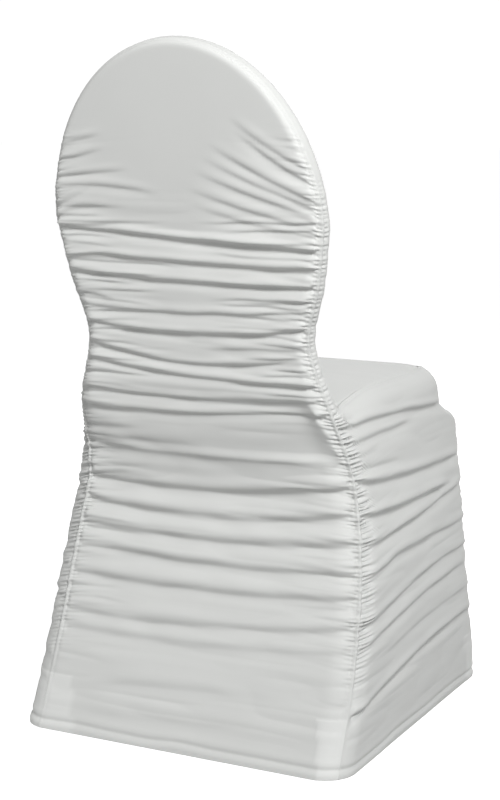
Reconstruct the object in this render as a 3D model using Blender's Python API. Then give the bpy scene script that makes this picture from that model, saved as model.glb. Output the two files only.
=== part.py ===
"""Stretch cover for a round-backed banquet chair, standing by itself as the chair would hold it.

Units are metres, +Z is up and the sitter faces -Y. The curves below are measured from the floor,
with the round back at +Y; each object is then moved so that the origin is HOLD, the spot under
the crown where the chair's back holds the cover up. Every panel of cloth is one object: a thin
closed sheet with its main folds in it. The form under the folds is one set of curves, so that
neighbouring panels meet along the same seams.
"""

import math

import bpy
import numpy as np

CLOTH = 0.0015  # thickness of a sheet
SEAM_GAP = 0.0002  # each panel stops this far short of its seam
UNDER_GAP = 0.0003  # and its inner skin stops this much further short
FOLD_FADE = 0.018  # folds die out over this width beside a seam
HOLD = np.array((0, 0.2382, 0.9265))  # under the crown, from the floor below the middle of the cover

# Rear seam: height, half width, distance back.
SEAM = np.array([
    (0.000, 0.2340, 0.2424),
    (0.120, 0.2322, 0.1925),
    (0.250, 0.2241, 0.1543),
    (0.380, 0.2030, 0.1418),
    (0.450, 0.1886, 0.1680),
    (0.5485, 0.1639, 0.1869),
    (0.620, 0.1824, 0.1985),
    (0.692, 0.1945, 0.2102),
])
RECLINE = 0.1626  # slope of the back above the waist
WIDEST = 0.692  # height where the round back is widest
CROWN = 0.9255  # top of the rear seam
WAIST = 0.5485

# Rear corner: height, radius, angle of the seam round the corner (0 = side, 90 = back),
# and the same angle on the left, where the cover is pulled round to the right.
CORNER = np.array([
    (0.000, 0.0430, 42.0, 80.0),
    (0.330, 0.0430, 42.0, 78.0),
    (0.380, 0.0430, 42.0, 64.0),
    (0.455, 0.0330, 38.0, 38.0),
    (0.510, 0.0200, 30.0, 30.0),
    (0.930, 0.0200, 30.0, 30.0),
])

# Front of the skirt and the cushion: height, distance to the front, half width, corner radius.
FRONT = np.array([
    (0.000, -0.2557, 0.2385, 0.034),
    (0.200, -0.2420, 0.2277, 0.034),
    (0.385, -0.2430, 0.2090, 0.032),
    (0.420, -0.2230, 0.2050, 0.078),
    (0.474, -0.2200, 0.2024, 0.080),
])
SEAT_TOP = 0.4700
SEAT_REAR = 0.4550  # where the rear seam, the backrest and the seat meet
EDGE_RADIUS = 0.030  # rounding of the cushion's top edge
EDGE_TURN = math.radians(84)  # the top seam lies this far round that edge
SEAT_CROWN = 0.006

# Folds are rows of: heights in mm at the left, the middle and the right, depth in mm,
# and the stretch of the panel they cross, from -1 (left) to 1 (right).
BACK_FOLDS = (
    (10, 9, 11, 2.0, -1.0, 1.0),
    (30, 35, 42, 0.8, -0.7, 0.7),
    (74, 72, 96, 0.9, -1.0, 1.0),
    (127, 125, 146, 1.2, -1.0, 1.0),
    (156, 155, 176, 2.0, -1.0, 1.0),
    (199, 198, 215, 2.2, -1.0, 1.0),
    (222, 220, 234, 1.2, -1.0, -0.3),
    (240, 235, 248, 2.4, -1.0, 1.0),
    (270, 267, 280, 2.6, -1.0, 1.0),
    (299, 297, 313, 2.4, -1.0, 1.0),
    (326, 318, 330, 1.2, -1.0, -0.4),
    (345, 338, 346, 2.2, -1.0, 1.0),
    (366, 360, 365, 1.0, 0.4, 1.0),
    (386, 384, 385, 1.4, -1.0, 1.0),
    (404, 400, 402, 1.6, -1.0, -0.4),
    (420, 418, 425, 1.4, -1.0, 0.3),
    (440, 439, 448, 2.8, -1.0, 1.0),
    (464, 461, 467, 3.4, -1.0, 1.0),
    (494, 490, 488, 3.2, -1.0, 1.0),
    (520, 509, 517, 3.0, -1.0, 1.0),
    (540, 530, 536, 2.0, -1.0, 1.0),
    (559, 548, 556, 3.4, -1.0, 1.0),
    (580, 574, 583, 3.2, -1.0, 1.0),
    (606, 598, 598, 2.0, -1.0, 1.0),
    (624, 616, 617, 2.8, -1.0, 1.0),
    (648, 641, 636, 2.8, -1.0, 1.0),
    (681, 669, 659, 3.6, -1.0, 1.0),
    (696, 685, 674, 2.0, -1.0, 1.0),
    (713, 708, 703, 1.6, -1.0, 1.0),
    (735, 726, 721, 1.4, -1.0, 1.0),
    (753, 748, 741, 1.8, -1.0, 1.0),
    (773, 770, 763, 1.4, -1.0, 1.0),
    (795, 793, 786, 1.2, -1.0, 1.0),
    (822, 822, 812, 0.8, -1.0, 1.0),
)
INNER_FOLDS = (
    (502, 498, 504, 2.2, -1.0, 1.0),
    (526, 520, 524, 2.4, -1.0, 1.0),
    (548, 541, 550, 2.8, -1.0, 1.0),
    (572, 566, 570, 2.6, -1.0, 1.0),
    (600, 594, 603, 2.6, -1.0, 1.0),
    (630, 622, 628, 2.4, -1.0, 1.0),
    (662, 655, 664, 2.4, -1.0, 1.0),
    (692, 688, 690, 2.0, -1.0, 1.0),
    (724, 722, 728, 1.8, -1.0, 1.0),
    (760, 758, 756, 1.4, -1.0, 1.0),
    (798, 800, 796, 1.0, -1.0, 1.0),
)
# Side folds have the rear, the middle and the front of the panel in place of left to right.
SIDE_FOLDS = (
    (17, 20, 24, 2.0, -1.0, 1.0),
    (57, 56, 60, 1.0, -1.0, 1.0),
    (82, 94, 108, 1.8, -1.0, 1.0),
    (118, 131, 146, 0.9, -1.0, 0.4),
    (156, 173, 186, 1.9, -1.0, 1.0),
    (190, 205, 214, 2.0, -1.0, 1.0),
    (228, 235, 238, 2.0, -1.0, 1.0),
    (263, 279, 285, 1.8, -1.0, 0.8),
    (313, 306, 304, 3.4, -1.0, 1.0),
    (352, 339, 337, 2.8, -1.0, 1.0),
    (388, 372, 366, 1.4, -1.0, 1.0),
    (426, 415, 408, 2.6, -1.0, 1.0),
)
LEFT_SIDE_FOLDS = (
    (17, 20, 22, 2.0, -1.0, 1.0),
    (60, 58, 66, 1.2, -1.0, 1.0),
    (90, 101, 110, 1.6, -1.0, 1.0),
    (128, 140, 150, 1.4, -1.0, 1.0),
    (168, 180, 184, 1.8, -1.0, 1.0),
    (207, 214, 222, 2.2, -1.0, 1.0),
    (240, 250, 255, 1.6, -1.0, 0.6),
    (275, 285, 290, 2.2, -1.0, 1.0),
    (318, 315, 309, 3.0, -1.0, 1.0),
    (356, 345, 340, 2.4, -1.0, 1.0),
    (390, 376, 370, 1.4, -1.0, 1.0),
    (425, 414, 407, 2.6, -1.0, 1.0),
)
SKIRT_FOLDS = (
    (22, 16, 20, 2.0, -1.0, 1.0),
    (64, 58, 62, 1.0, -1.0, 1.0),
    (108, 102, 104, 1.6, -1.0, 1.0),
    (150, 144, 152, 1.8, -1.0, 1.0),
    (192, 186, 190, 2.0, -1.0, 1.0),
    (236, 230, 238, 2.2, -1.0, 1.0),
    (282, 274, 280, 2.2, -1.0, 1.0),
    (318, 312, 316, 2.8, -1.0, 1.0),
    (352, 348, 350, 2.4, -1.0, 1.0),
    (404, 402, 406, 2.8, -1.0, 1.0),
)

BACK_COLUMNS = (-1, -0.96, -0.91, -0.85, -0.6, -0.2, 0.2, 0.6, 0.85, 0.91, 0.96, 1)
FACE_COLUMNS = (-1, -0.8, -0.5, -0.17, 0.17, 0.5, 0.8, 1)
BAND_TURNS = 4
CROWN_FROM = 0.830  # above this the rows follow the crown, and the cloth is smooth
CROWN_TURNS = 13
# Stops along the side from its rear seam. The first four run beside the foot of the backrest.
SIDE_COLUMNS = (0, 0.022, 0.044, 0.066, 0.105, 0.16, 0.22, 0.36, 0.5, 0.65, 0.8, 0.88, 0.92, 0.95, 0.975, 1)
FOOT_STOPS = 4
POCKET_HEIGHT = 0.072


def curve(table, column, at, steady=False):
    """A smooth curve through one column of a table against its first, held level past its ends.

    A steady curve never swings past the values on either side of it.
    """
    x, y = table[:, 0], table[:, column]
    step = np.diff(x)
    slope = np.diff(y) / step
    bend = np.concatenate([
        slope[:1],
        (slope[:-1] * step[1:] + slope[1:] * step[:-1]) / (step[:-1] + step[1:]),
        slope[-1:],
    ])
    if steady:
        most = 2 * np.minimum(np.abs(slope[:-1]), np.abs(slope[1:]))
        turns = slope[:-1] * slope[1:] <= 0
        bend[1:-1] = np.where(turns, 0, np.clip(bend[1:-1], -most, most))
        bend[[0, -1]] = 0
    at = np.clip(at, x[0], x[-1])
    i = np.clip(np.searchsorted(x, at) - 1, 0, len(x) - 2)
    t = (at - x[i]) / step[i]
    return (
        (2 * t**3 - 3 * t**2 + 1) * y[i]
        + (t**3 - 2 * t**2 + t) * step[i] * bend[i]
        + (3 * t**2 - 2 * t**3) * y[i + 1]
        + (t**3 - t**2) * step[i] * bend[i + 1]
    )


def ease(x):
    """0 to 1 with level ends."""
    x = np.clip(x, 0, 1)
    return x * x * (3 - 2 * x)


def seam_half(z):
    """Half width of the rear seam: the table up to the widest height, then an ellipse."""
    z = np.asarray(z, float)
    rise = np.clip((z - WIDEST) / (CROWN - WIDEST), 0, 1)
    return np.where(z > WIDEST, SEAM[-1, 1] * np.sqrt(1 - rise**2), curve(SEAM, 1, z))


def seam_back(z):
    z = np.asarray(z, float)
    return np.where(z > WAIST, SEAM[5, 2] + (z - WAIST) * RECLINE, curve(SEAM[:6], 2, z))


def corner(z, left=False):
    """Radius of the rear corner, the seam's angle on it, and the angle for this side."""
    angle = np.radians(curve(CORNER, 2, z, True))
    own = np.radians(curve(CORNER, 3, z, True)) if left else angle
    return curve(CORNER, 1, z, True), angle, own


def corner_centre(z):
    radius, angle, _ = corner(z)
    return seam_half(z) - radius * np.cos(angle), seam_back(z) - radius * np.sin(angle)


def rear_seam(z, side):
    """A point of the rear seam; side is 1 for the left (+X) and -1 for the right."""
    radius, _, own = corner(z, side > 0)
    x, y = corner_centre(z)
    return side * (x + radius * np.cos(own)), y + radius * np.sin(own)


def inset(x, z):
    """Distance in from the rear seam's outline."""
    rise = np.clip(z - WIDEST, 0, None) / (CROWN - WIDEST)
    across = np.abs(x) / SEAM[-1, 1]
    reach = np.hypot(rise, across)
    length = np.hypot(x, np.clip(z - WIDEST, 0, None))
    return np.where(z > WIDEST, (1 - reach) * length / np.maximum(reach, 1e-6), seam_half(z) - np.abs(x))


def back_face(x, z):
    """Distance back of the cloth over the back, rounded toward the seams."""
    radius, angle, _ = corner(z)
    past = np.clip(radius * np.cos(angle) - inset(x, z), 0, radius)
    return seam_back(z) + radius * (1 - np.sin(angle)) - radius + np.sqrt(radius**2 - past**2)


def fold_rows(folds, top, across, steps):
    """Row heights that follow the folds, and how far each point is pushed in.

    folds is one of the tables, top the height of the last row at each column, across the
    columns from -1 to 1, and steps the rows to each fold.
    """
    across = np.asarray(across, float)
    table = np.array(folds, float)
    low, mid, high = table[:, 0:1], table[:, 1:2], table[:, 2:3]
    q = across[None] / 0.9
    lines = (mid + (high - low) / 2 * q + ((high + low) / 2 - mid) * q**2) / 1000
    window = ease((across[None] - table[:, 4:5]) / 0.25 + 1) * ease((table[:, 5:6] - across[None]) / 0.25 + 1)
    depth = table[:, 3:4] / 1000 * window
    lines = np.concatenate([np.zeros((1, len(across))), lines, np.broadcast_to(top, (1, len(across)))])
    depth = np.concatenate([np.zeros((1, len(across))), depth, np.zeros((1, len(across)))])
    heights, pushes = [], []
    for k in range(len(lines) - 1):
        gap = lines[k + 1] - lines[k]
        for step in range(steps):
            f = step / steps
            near, far = max(0, 1 - 2 * f) ** 2, max(0, 2 * f - 1) ** 2
            swell = 0.03 * gap * math.sin(math.pi * f)
            heights.append(lines[k] + f * gap)
            pushes.append(depth[k] * near + depth[k + 1] * far - swell * (depth[k] + depth[k + 1] > 0.002))
    heights.append(lines[-1])
    pushes.append(depth[-1])
    return np.array(heights), np.array(pushes)


def run_along(points, axis):
    """Mean distance of each row or column from the first, to measure slopes against."""
    steps = np.linalg.norm(np.diff(points, axis=axis), axis=-1).mean(axis=1 - axis)
    return np.concatenate([[0], np.cumsum(np.maximum(steps, 1e-6))])


def normals_of(points, flip):
    along = np.gradient(points, run_along(points, 0), axis=0, edge_order=2)
    across = np.gradient(points, run_along(points, 1), axis=1, edge_order=2)
    normal = np.cross(across, along) * flip
    return normal / np.maximum(np.linalg.norm(normal, axis=-1, keepdims=True), 1e-12)


def edge_fade(points, sides=(True, True, False, False)):
    """1 inside a panel and 0 along its seams: first and last column, first and last row."""
    fade = np.ones(points.shape[:2])
    across = np.linalg.norm(np.diff(points, axis=1), axis=-1)
    along = np.linalg.norm(np.diff(points, axis=0), axis=-1)
    zero_column, zero_row = np.zeros((len(points), 1)), np.zeros((1, points.shape[1]))
    run_x = np.concatenate([zero_column, np.cumsum(across, 1)], 1)
    run_z = np.concatenate([zero_row, np.cumsum(along, 0)], 0)
    for wanted, run in zip(sides, (run_x, run_x[:, -1:] - run_x, run_z, run_z[-1:] - run_z)):
        if wanted:
            fade = fade * ease(run / FOLD_FADE)
    return fade


def press_folds(points, push, sides, flip):
    """Presses the folds into a panel. Along a seam the sheet keeps the plain form's direction."""
    plain = normals_of(points, flip)
    points = points - plain * (push * edge_fade(points, sides))[..., None]
    normal = normals_of(points, flip)
    for wanted, edge in zip(sides, ((slice(None), 0), (slice(None), -1), (0,), (-1,))):
        if wanted:
            normal[edge] = plain[edge]
    return points, normal


def pull_edges(points, sides, gap=SEAM_GAP):
    """Moves the edges that lie on a seam back from it, along the cloth."""
    points = points.copy()
    last = (slice(None), -1), (slice(None), -2)
    edges = (((slice(None), 0), (slice(None), 1)), last, ((0,), (1,)), ((-1,), (-2,)))
    for wanted, (edge, next_in) in zip(sides, edges):
        if wanted:
            way = points[next_in] - points[edge]
            length = np.maximum(np.linalg.norm(way, axis=-1, keepdims=True), 1e-9)
            points[edge] += way / length * gap
    return points


def material(name, colour, roughness):
    made = bpy.data.materials.new(name)
    made.use_nodes = True
    shader = made.node_tree.nodes["Principled BSDF"]
    shader.inputs["Base Color"].default_value = (*colour, 1)
    shader.inputs["Roughness"].default_value = roughness
    return made


def cloth_object(name, outer, normal, cloth, sides=(False,) * 4, closed_top=False):
    """A closed sheet from a grid of outer points: a second skin inside it, and rims between."""
    rows, columns = outer.shape[:2]
    outer = pull_edges(outer, sides)
    inner = pull_edges(outer - normal * CLOTH, sides, UNDER_GAP)
    inner[..., 2] = np.maximum(inner[..., 2], 0)
    count = rows * columns
    index = np.arange(count).reshape(rows, columns)
    quads = []
    for i in range(rows - 1):
        for j in range(columns - 1):
            a, b, c, d = index[i, j], index[i, j + 1], index[i + 1, j + 1], index[i + 1, j]
            quads += [(a, b, c, d), (a + count, d + count, c + count, b + count)]
    for j in range(columns - 1):
        a, b = index[0, j], index[0, j + 1]
        quads.append((a, a + count, b + count, b))
        if not closed_top:
            a, b = index[-1, j], index[-1, j + 1]
            quads.append((a, b, b + count, a + count))
    for i in range(rows - 1):
        a, b = index[i, 0], index[i + 1, 0]
        quads.append((a, b, b + count, a + count))
        a, b = index[i, -1], index[i + 1, -1]
        quads.append((a, a + count, b + count, b))
    points = np.concatenate([outer.reshape(-1, 3), inner.reshape(-1, 3)]) - HOLD
    # Rows that close on themselves share their points, and squares flatten to triangles there.
    _, first, same = np.unique(np.round(points, 7), axis=0, return_index=True, return_inverse=True)
    same = same.reshape(-1)
    triangles = []
    for a, b, c, d in quads:
        a, b, c, d = same[a], same[b], same[c], same[d]
        halves = ((a, b, c), (a, c, d)) if (a + b) % 2 else ((a, b, d), (b, c, d))
        for triangle in halves:
            if len(set(triangle)) == 3:
                triangles.append([int(n) for n in triangle])
    solid = np.array([points[first][t] for t in triangles])
    if np.einsum("ij,ij->i", solid[:, 0], np.cross(solid[:, 1], solid[:, 2])).sum() < 0:
        triangles = [t[::-1] for t in triangles]
    mesh = bpy.data.meshes.new(name)
    mesh.from_pydata(points[first].tolist(), [], triangles)
    mesh.materials.append(cloth)
    made = bpy.data.objects.new(name, mesh)
    bpy.context.scene.collection.objects.link(made)
    return made


def crown_turns():
    """Angles of the rows over the crown, from its side to its top."""
    start = math.acos((CROWN_FROM - WIDEST) / (CROWN - WIDEST))
    return np.linspace(start, 0, CROWN_TURNS)[1:]


def back_panel(cloth):
    """The whole back from the hem to the crown, folded across between the two rear seams."""
    u = np.array(BACK_COLUMNS, float)
    z, push = fold_rows(BACK_FOLDS, CROWN_FROM, u, 3)
    turns = crown_turns()
    turns[-1] = math.radians(1.5)
    crown = WIDEST + (CROWN - WIDEST) * np.cos(turns)[:, None] + 0 * u
    z, push = np.concatenate([z, crown]), np.concatenate([push, 0 * crown])
    left, _ = rear_seam(z, 1)
    right, _ = rear_seam(z, -1)
    x = left + (right - left) * (u + 1) / 2
    points = np.stack([x, back_face(x, z), z], -1)
    sides = (True, True, False, True)
    points, normal = press_folds(points, push, sides, 1)
    assert normal[5, 5, 1] > 0
    return cloth_object("back_panel", points, normal, cloth, sides)


def side_spot(t, z, lift, side):
    """A point of the side's form: t runs from the rear seam to the front corner seam.

    z is the height up to the cushion's edge, and lift turns on over that edge, 0 to 1.
    """
    t, z, lift = np.broadcast_arrays(*(np.asarray(v, float) for v in (t, z, lift)))
    radius, _, own = corner(z, side > 0)
    centre_x, centre_y = corner_centre(z)
    front_y, front_x, front_radius = (curve(FRONT, k, z, True) for k in (1, 2, 3))
    first = radius * own
    second = centre_y - (front_y + front_radius)
    third = front_radius * math.pi / 4
    run = t * (first + second + third)
    edge = cushion_radius(t)
    turn = lift * EDGE_TURN
    back_in = edge * (1 - np.cos(turn))
    a = np.clip(own - run / radius, 0, None)
    q = np.clip((run - first) / second, 0, 1)
    b = np.clip((run - first - second) / front_radius, 0, None)
    on_rear, on_front = run < first, run > first + second
    x = np.where(
        on_rear,
        centre_x + (radius - back_in) * np.cos(a),
        centre_x + radius + (front_x - centre_x - radius) * q - back_in,
    )
    y = np.where(on_rear, centre_y + (radius - back_in) * np.sin(a), centre_y - second * q)
    x = np.where(on_front, front_x - front_radius + (front_radius - back_in) * np.cos(b), x)
    y = np.where(on_front, front_y + front_radius - (front_radius - back_in) * np.sin(b), y)
    return np.stack([side * x, y, z + edge * np.sin(turn)], -1)


def cushion_radius(t):
    """Rounding of the cushion's edge, from nothing at the rear seam to its full size."""
    return EDGE_RADIUS * (0.02 + 0.98 * ease(np.asarray(t, float) / 0.14))


def cushion_edge(t):
    """Height where the cushion's rounding begins."""
    rise = ease(np.asarray(t, float) / 0.40)
    return SEAT_REAR + (SEAT_TOP - SEAT_REAR) * rise - cushion_radius(t)


def side_top(t, side):
    """The seam along the top of the side, from the rear seam to the front corner."""
    return side_spot(t, cushion_edge(t), 1.0, side)


def side_panel(name, side, folds, cloth):
    t = np.array(SIDE_COLUMNS, float)
    z, push = fold_rows(folds, cushion_edge(t), t * 2 - 1, 3)
    lift = np.zeros(z.shape)
    turns = np.linspace(0, 1, 6)[1:, None] + 0 * t
    z = np.concatenate([z, turns * 0 + cushion_edge(t)])
    push = np.concatenate([push, 0 * turns])
    lift = np.concatenate([lift, turns])
    points = side_spot(t[None], z, lift, side)
    sides = (True, True, False, True)
    points, normal = press_folds(points, push, sides, -side)
    assert normal[5, 8, 0] * side > 0
    return cloth_object(name, points, normal, cloth, sides)


def band_point(x, z, reach_x, reach_z, turn, side):
    """A point of the band round the backrest's edge, turned from the seam to the front."""
    radius, angle, _ = backrest_edge(z)
    out = radius * (np.cos(turn) - np.cos(angle))
    y = seam_back(z) + radius * (np.sin(turn) - np.sin(angle))
    return np.stack([side * (x + reach_x * out), y, z + reach_z * out], -1)


def backrest_edge(z):
    """Rounding of the backrest's own edge, which stays the same down to the seat."""
    return corner(np.maximum(z, 0.51))


def inner_back_panel(cloth):
    """The sitter's side of the backrest with the band round its edge."""
    u = np.array(FACE_COLUMNS, float)
    z, push = fold_rows(INNER_FOLDS, CROWN_FROM, u, 2)
    start = SEAT_REAR
    z[0] = start
    z[1] = (start + z[2]) / 2
    crown = WIDEST + (CROWN - WIDEST) * np.cos(crown_turns())[:, None] + 0 * u
    z, push = np.concatenate([z, crown]), np.concatenate([push, 0 * crown])

    def outline(height):
        """Half width of the seam with the way out from it, at each row's end."""
        rise = np.clip((height - WIDEST) / (CROWN - WIDEST), 0, 1)
        low = (seam_half(height + 1e-4) - seam_half(height - 1e-4)) / 2e-4
        half = np.where(height > WIDEST, SEAM[-1, 1] * np.sqrt(1 - rise**2), seam_half(height))
        way_x = np.where(height > WIDEST, np.sqrt(1 - rise**2) / SEAM[-1, 1], 1.0)
        way_z = np.where(height > WIDEST, rise / (CROWN - WIDEST), -low)
        size = np.hypot(way_x, way_z)
        return half, way_x / size, way_z / size

    bands = []
    for side, height in ((1, z[:, 0]), (-1, z[:, -1])):
        half, way_x, way_z = outline(height)
        angle = backrest_edge(height)[1]
        share = np.linspace(0, 1, BAND_TURNS + 1)[None]
        turn = angle[:, None] - share * (angle[:, None] + math.pi / 2)
        bands.append(band_point(half[:, None], height[:, None], way_x[:, None], way_z[:, None], turn, side))
    left, right = bands[0], bands[1][:, ::-1]
    share = ((u + 1) / 2)[None]
    ends_z = left[:, -1, 2][:, None] * (1 - share) + right[:, 0, 2][:, None] * share
    rows_z = z[:, :1] * (1 - share) + z[:, -1:] * share
    face_z = ends_z + (z - rows_z)
    face_x = left[:, -1, 0][:, None] * (1 - share) + right[:, 0, 0][:, None] * share
    radius, angle, _ = backrest_edge(face_z)
    face_y = seam_back(face_z) - radius * (1 + np.sin(angle))
    ends_y = left[:, -1, 1][:, None] * (1 - share) + right[:, 0, 1][:, None] * share
    face_y += ends_y - (face_y[:, :1] * (1 - share) + face_y[:, -1:] * share)
    face = np.stack([face_x, face_y, face_z], -1)
    points = np.concatenate([left[:, :-1], face, right[:, 1:]], axis=1)
    # The foot of the panel follows the top seams of the sides, then crosses the seat.
    s = np.array(SIDE_COLUMNS[:FOOT_STOPS])
    foot_left, foot_right = side_top(s, 1), side_top(s, -1)[::-1]
    crossing = points[0, FOOT_STOPS:-FOOT_STOPS].copy()
    crossing[:, 1:] = foot_left[-1, 1:]
    foot = np.concatenate([foot_left, crossing, foot_right])
    settle = ease(1 - (points[..., 2:3] - SEAT_REAR) / 0.045)
    settle[0] = 1
    points = points + settle * (foot - points[0])[None]
    sides = (True, True, True, False)
    columns = points.shape[1]
    full_push = np.zeros(points.shape[:2])
    full_push[:, BAND_TURNS : columns - BAND_TURNS] = push
    for j in range(BAND_TURNS):
        full_push[:, j] = push[:, 0]
        full_push[:, columns - 1 - j] = push[:, -1]
    points, normal = press_folds(points, full_push, sides, -1)
    assert normal[8, columns // 2, 1] < 0
    middle = columns // 2
    top = normal[-1]
    top[:, 0] = 0
    top[:middle] = top[:middle] + top[::-1][:middle] * (1, 1, 1)
    top[columns - middle :] = top[:middle][::-1]
    top[BAND_TURNS : columns - BAND_TURNS] = top[BAND_TURNS]
    top /= np.linalg.norm(top, axis=-1, keepdims=True)
    points[-1, :, 0] = 0
    points[-1, BAND_TURNS : columns - BAND_TURNS] = points[-1, BAND_TURNS]
    points[-1, columns - BAND_TURNS :] = points[-1, :BAND_TURNS][::-1]
    return cloth_object("inner_back_panel", points, normal, cloth, sides, closed_top=True)


def front_spot(u, z, lift):
    """A point of the skirt's front and the cushion's front edge, u from -1 (left) to 1."""
    u, z, lift = np.broadcast_arrays(*(np.asarray(v, float) for v in (u, z, lift)))
    front_y, front_x, front_radius = (curve(FRONT, k, z, True) for k in (1, 2, 3))
    edge = float(cushion_radius(1.0))
    turn = lift * EDGE_TURN
    back_in = edge * (1 - np.cos(turn))
    half_arc = front_radius * math.pi / 4
    straight = front_x - front_radius
    run = np.abs(u) * (straight + half_arc)
    b = np.clip((run - straight) / front_radius, 0, None)
    x = np.where(run < straight, run, straight + (front_radius - back_in) * np.sin(b))
    y = front_y + front_radius - (front_radius - back_in) * np.cos(b)
    return np.stack([-np.sign(u) * x, y, z + edge * np.sin(turn)], -1)


def seat_panel(cloth):
    """The seat's top and the front of the skirt in one length of cloth."""
    u = np.array(FACE_COLUMNS, float)
    u = np.sort(np.concatenate([u, (-0.97, -0.93, -0.89, 0.89, 0.93, 0.97)]))
    edge_z = float(cushion_edge(1.0))
    z, push = fold_rows(SKIRT_FOLDS, edge_z + 0 * u, u, 3)
    turns = np.linspace(0, 1, 6)[1:, None] + 0 * u
    skirt = front_spot(u[None], z, 0.0)
    rolled = front_spot(u[None], edge_z + 0 * turns, turns)
    front = np.concatenate([skirt, rolled])
    push = np.concatenate([push, 0 * turns])
    # The top is a patch between the front edge, the two top seams and the foot of the back.
    t = np.array(SIDE_COLUMNS[FOOT_STOPS - 1 : -1][::-1])
    v = (1 - t) / (1 - t[-1])
    left, right = side_top(t, 1), side_top(t, -1)
    share = ((u + 1) / 2)[None, :, None]
    near, far = front[-1][None], (left[-1] * (1 - share) + right[-1] * share)
    w = v[:, None, None]
    corners = (1 - w) * ((1 - share) * near[:, :1] + share * near[:, -1:]) + w * far
    top = (1 - w) * near + w * far + (1 - share) * left[:, None] + share * right[:, None] - corners
    puff = SEAT_CROWN * (1 - (2 * share - 1) ** 2) * np.sin(math.pi * w) ** 0.7
    top[..., 2] += puff[..., 0]
    points = np.concatenate([front, top])
    push = np.concatenate([push, np.zeros(top.shape[:2])])
    sides = (True, True, False, True)
    points, normal = press_folds(points, push, sides, -1)
    assert normal[4, 5, 1] < 0
    return cloth_object("seat_panel", points, normal, cloth, sides)


def pocket(name, side, rear, cloth):
    """A doubled corner at a foot: a low wall inside the two panels, and a sole under the leg."""
    in_from_cloth = CLOTH + 0.0027  # clear of the folds at the hem
    heights = np.array((POCKET_HEIGHT, 0.060, 0.045, 0.030, 0.0022))
    ring = 9
    walls = []
    for z in heights:
        if rear:
            radius = float(curve(CORNER, 1, z, True))
            cx, cy = (float(v) for v in corner_centre(z))
            flat_side, flat_face, half = 0.020, 0.030, math.pi / 2
        else:
            front_y, front_x, radius = (float(curve(FRONT, k, z, True)) for k in (1, 2, 3))
            cx, cy = front_x - radius, front_y + radius
            flat_side, flat_face, half = 0.026, 0.030, math.pi / 2
        small = radius - in_from_cloth
        total = flat_side + small * half + flat_face
        run = np.linspace(0, total, ring)
        a = np.clip((run - flat_side) / small, 0, half)
        before, after = np.clip(flat_side - run, 0, None), np.clip(run - flat_side - small * half, 0, None)
        way = 1 if rear else -1
        x = cx + small * np.cos(a) - after
        y = cy + way * (small * np.sin(a) - before)
        walls.append(np.stack([side * x, y, np.full(ring, z)], -1))
    wall = np.array(walls)
    # The sole closes from the wall's foot to the straight line between the wall's two ends.
    chord = np.linspace(0, 1, ring)[:, None] * (wall[-1, -1] - wall[-1, 0]) + wall[-1, 0]
    shares = np.array((0.12, 0.5, 0.92))[:, None, None]
    # The ends of the sole stay a little apart from the wall's ends.
    middle = wall[-1].mean(axis=0)
    sole = wall[-1] * (1 - shares) + (chord * 0.97 + middle * 0.03) * shares
    sole[..., 2] = 0.0018
    points = np.concatenate([wall, sole])
    normal = normals_of(points, 1)
    if (normal[1, ring // 2, 0] * side) < 0:
        normal = -normal
    return cloth_object(name, points, normal, cloth)


def main():
    for found in list(bpy.data.objects):
        bpy.data.objects.remove(found)
    spandex = material("milk_spandex", (0.62, 0.62, 0.60), 0.62)
    lining = material("doubled_spandex", (0.60, 0.60, 0.58), 0.66)
    back_panel(spandex)
    inner_back_panel(spandex)
    seat_panel(spandex)
    side_panel("side_panel_right", -1, SIDE_FOLDS, spandex)
    side_panel("side_panel_left", 1, LEFT_SIDE_FOLDS, spandex)
    for rear, end in ((True, "rear"), (False, "front")):
        for side, hand in ((-1, "right"), (1, "left")):
            pocket(f"foot_pocket_{end}_{hand}", side, rear, lining)


main()
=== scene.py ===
"""Looks of a stretch chair cover with a round back, standing as it does in use.

The cover is sewn from five panels of milk spandex, a thin two-way stretch knit, with a doubled
pocket at each foot. The panels are stretched tight and their seams are sewn with the cloth
gathered, so each panel has folds across it that end in fine puckers at the seams. Each panel
here is one sheet with two skins, worked out as a grid of points: the form that it is stretched
to, then its folds, puckers, seam ridges and hem. It replaces the CAD node of its name.

Lengths are metres unless a name or comment says mm, +Z is up, the sitter faces -Y and +X is the
left hand of the view. The form is measured from the floor, and the finished points are then
moved so that the origin is the spot under the crown where the cover is held.
"""

import logging
import math
from dataclasses import dataclass, field
from enum import Enum, IntEnum

import bpy
import numpy as np
from mathutils import Matrix, Vector


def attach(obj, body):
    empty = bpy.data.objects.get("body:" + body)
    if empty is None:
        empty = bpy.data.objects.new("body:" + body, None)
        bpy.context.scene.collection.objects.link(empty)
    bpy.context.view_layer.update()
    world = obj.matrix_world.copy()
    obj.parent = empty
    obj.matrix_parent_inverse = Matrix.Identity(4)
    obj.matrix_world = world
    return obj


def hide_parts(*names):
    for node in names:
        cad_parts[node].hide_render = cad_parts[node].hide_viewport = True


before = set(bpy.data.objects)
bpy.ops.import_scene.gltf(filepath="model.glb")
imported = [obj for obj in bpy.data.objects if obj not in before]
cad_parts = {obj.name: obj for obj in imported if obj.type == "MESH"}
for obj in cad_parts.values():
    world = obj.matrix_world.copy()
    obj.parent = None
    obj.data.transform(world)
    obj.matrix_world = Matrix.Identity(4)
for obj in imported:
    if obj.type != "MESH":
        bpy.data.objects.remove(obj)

Array = np.ndarray
log = logging.getLogger("cover")

HOLD = np.array((0.0, 0.2382, 0.9265))  # the origin, measured from the floor
POCKET_TOP = 71.0  # height in mm up to which a foot pocket shows through the cloth
FINE_MARGIN = 0.006  # beside a seam the columns stay at their finest for this far

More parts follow.
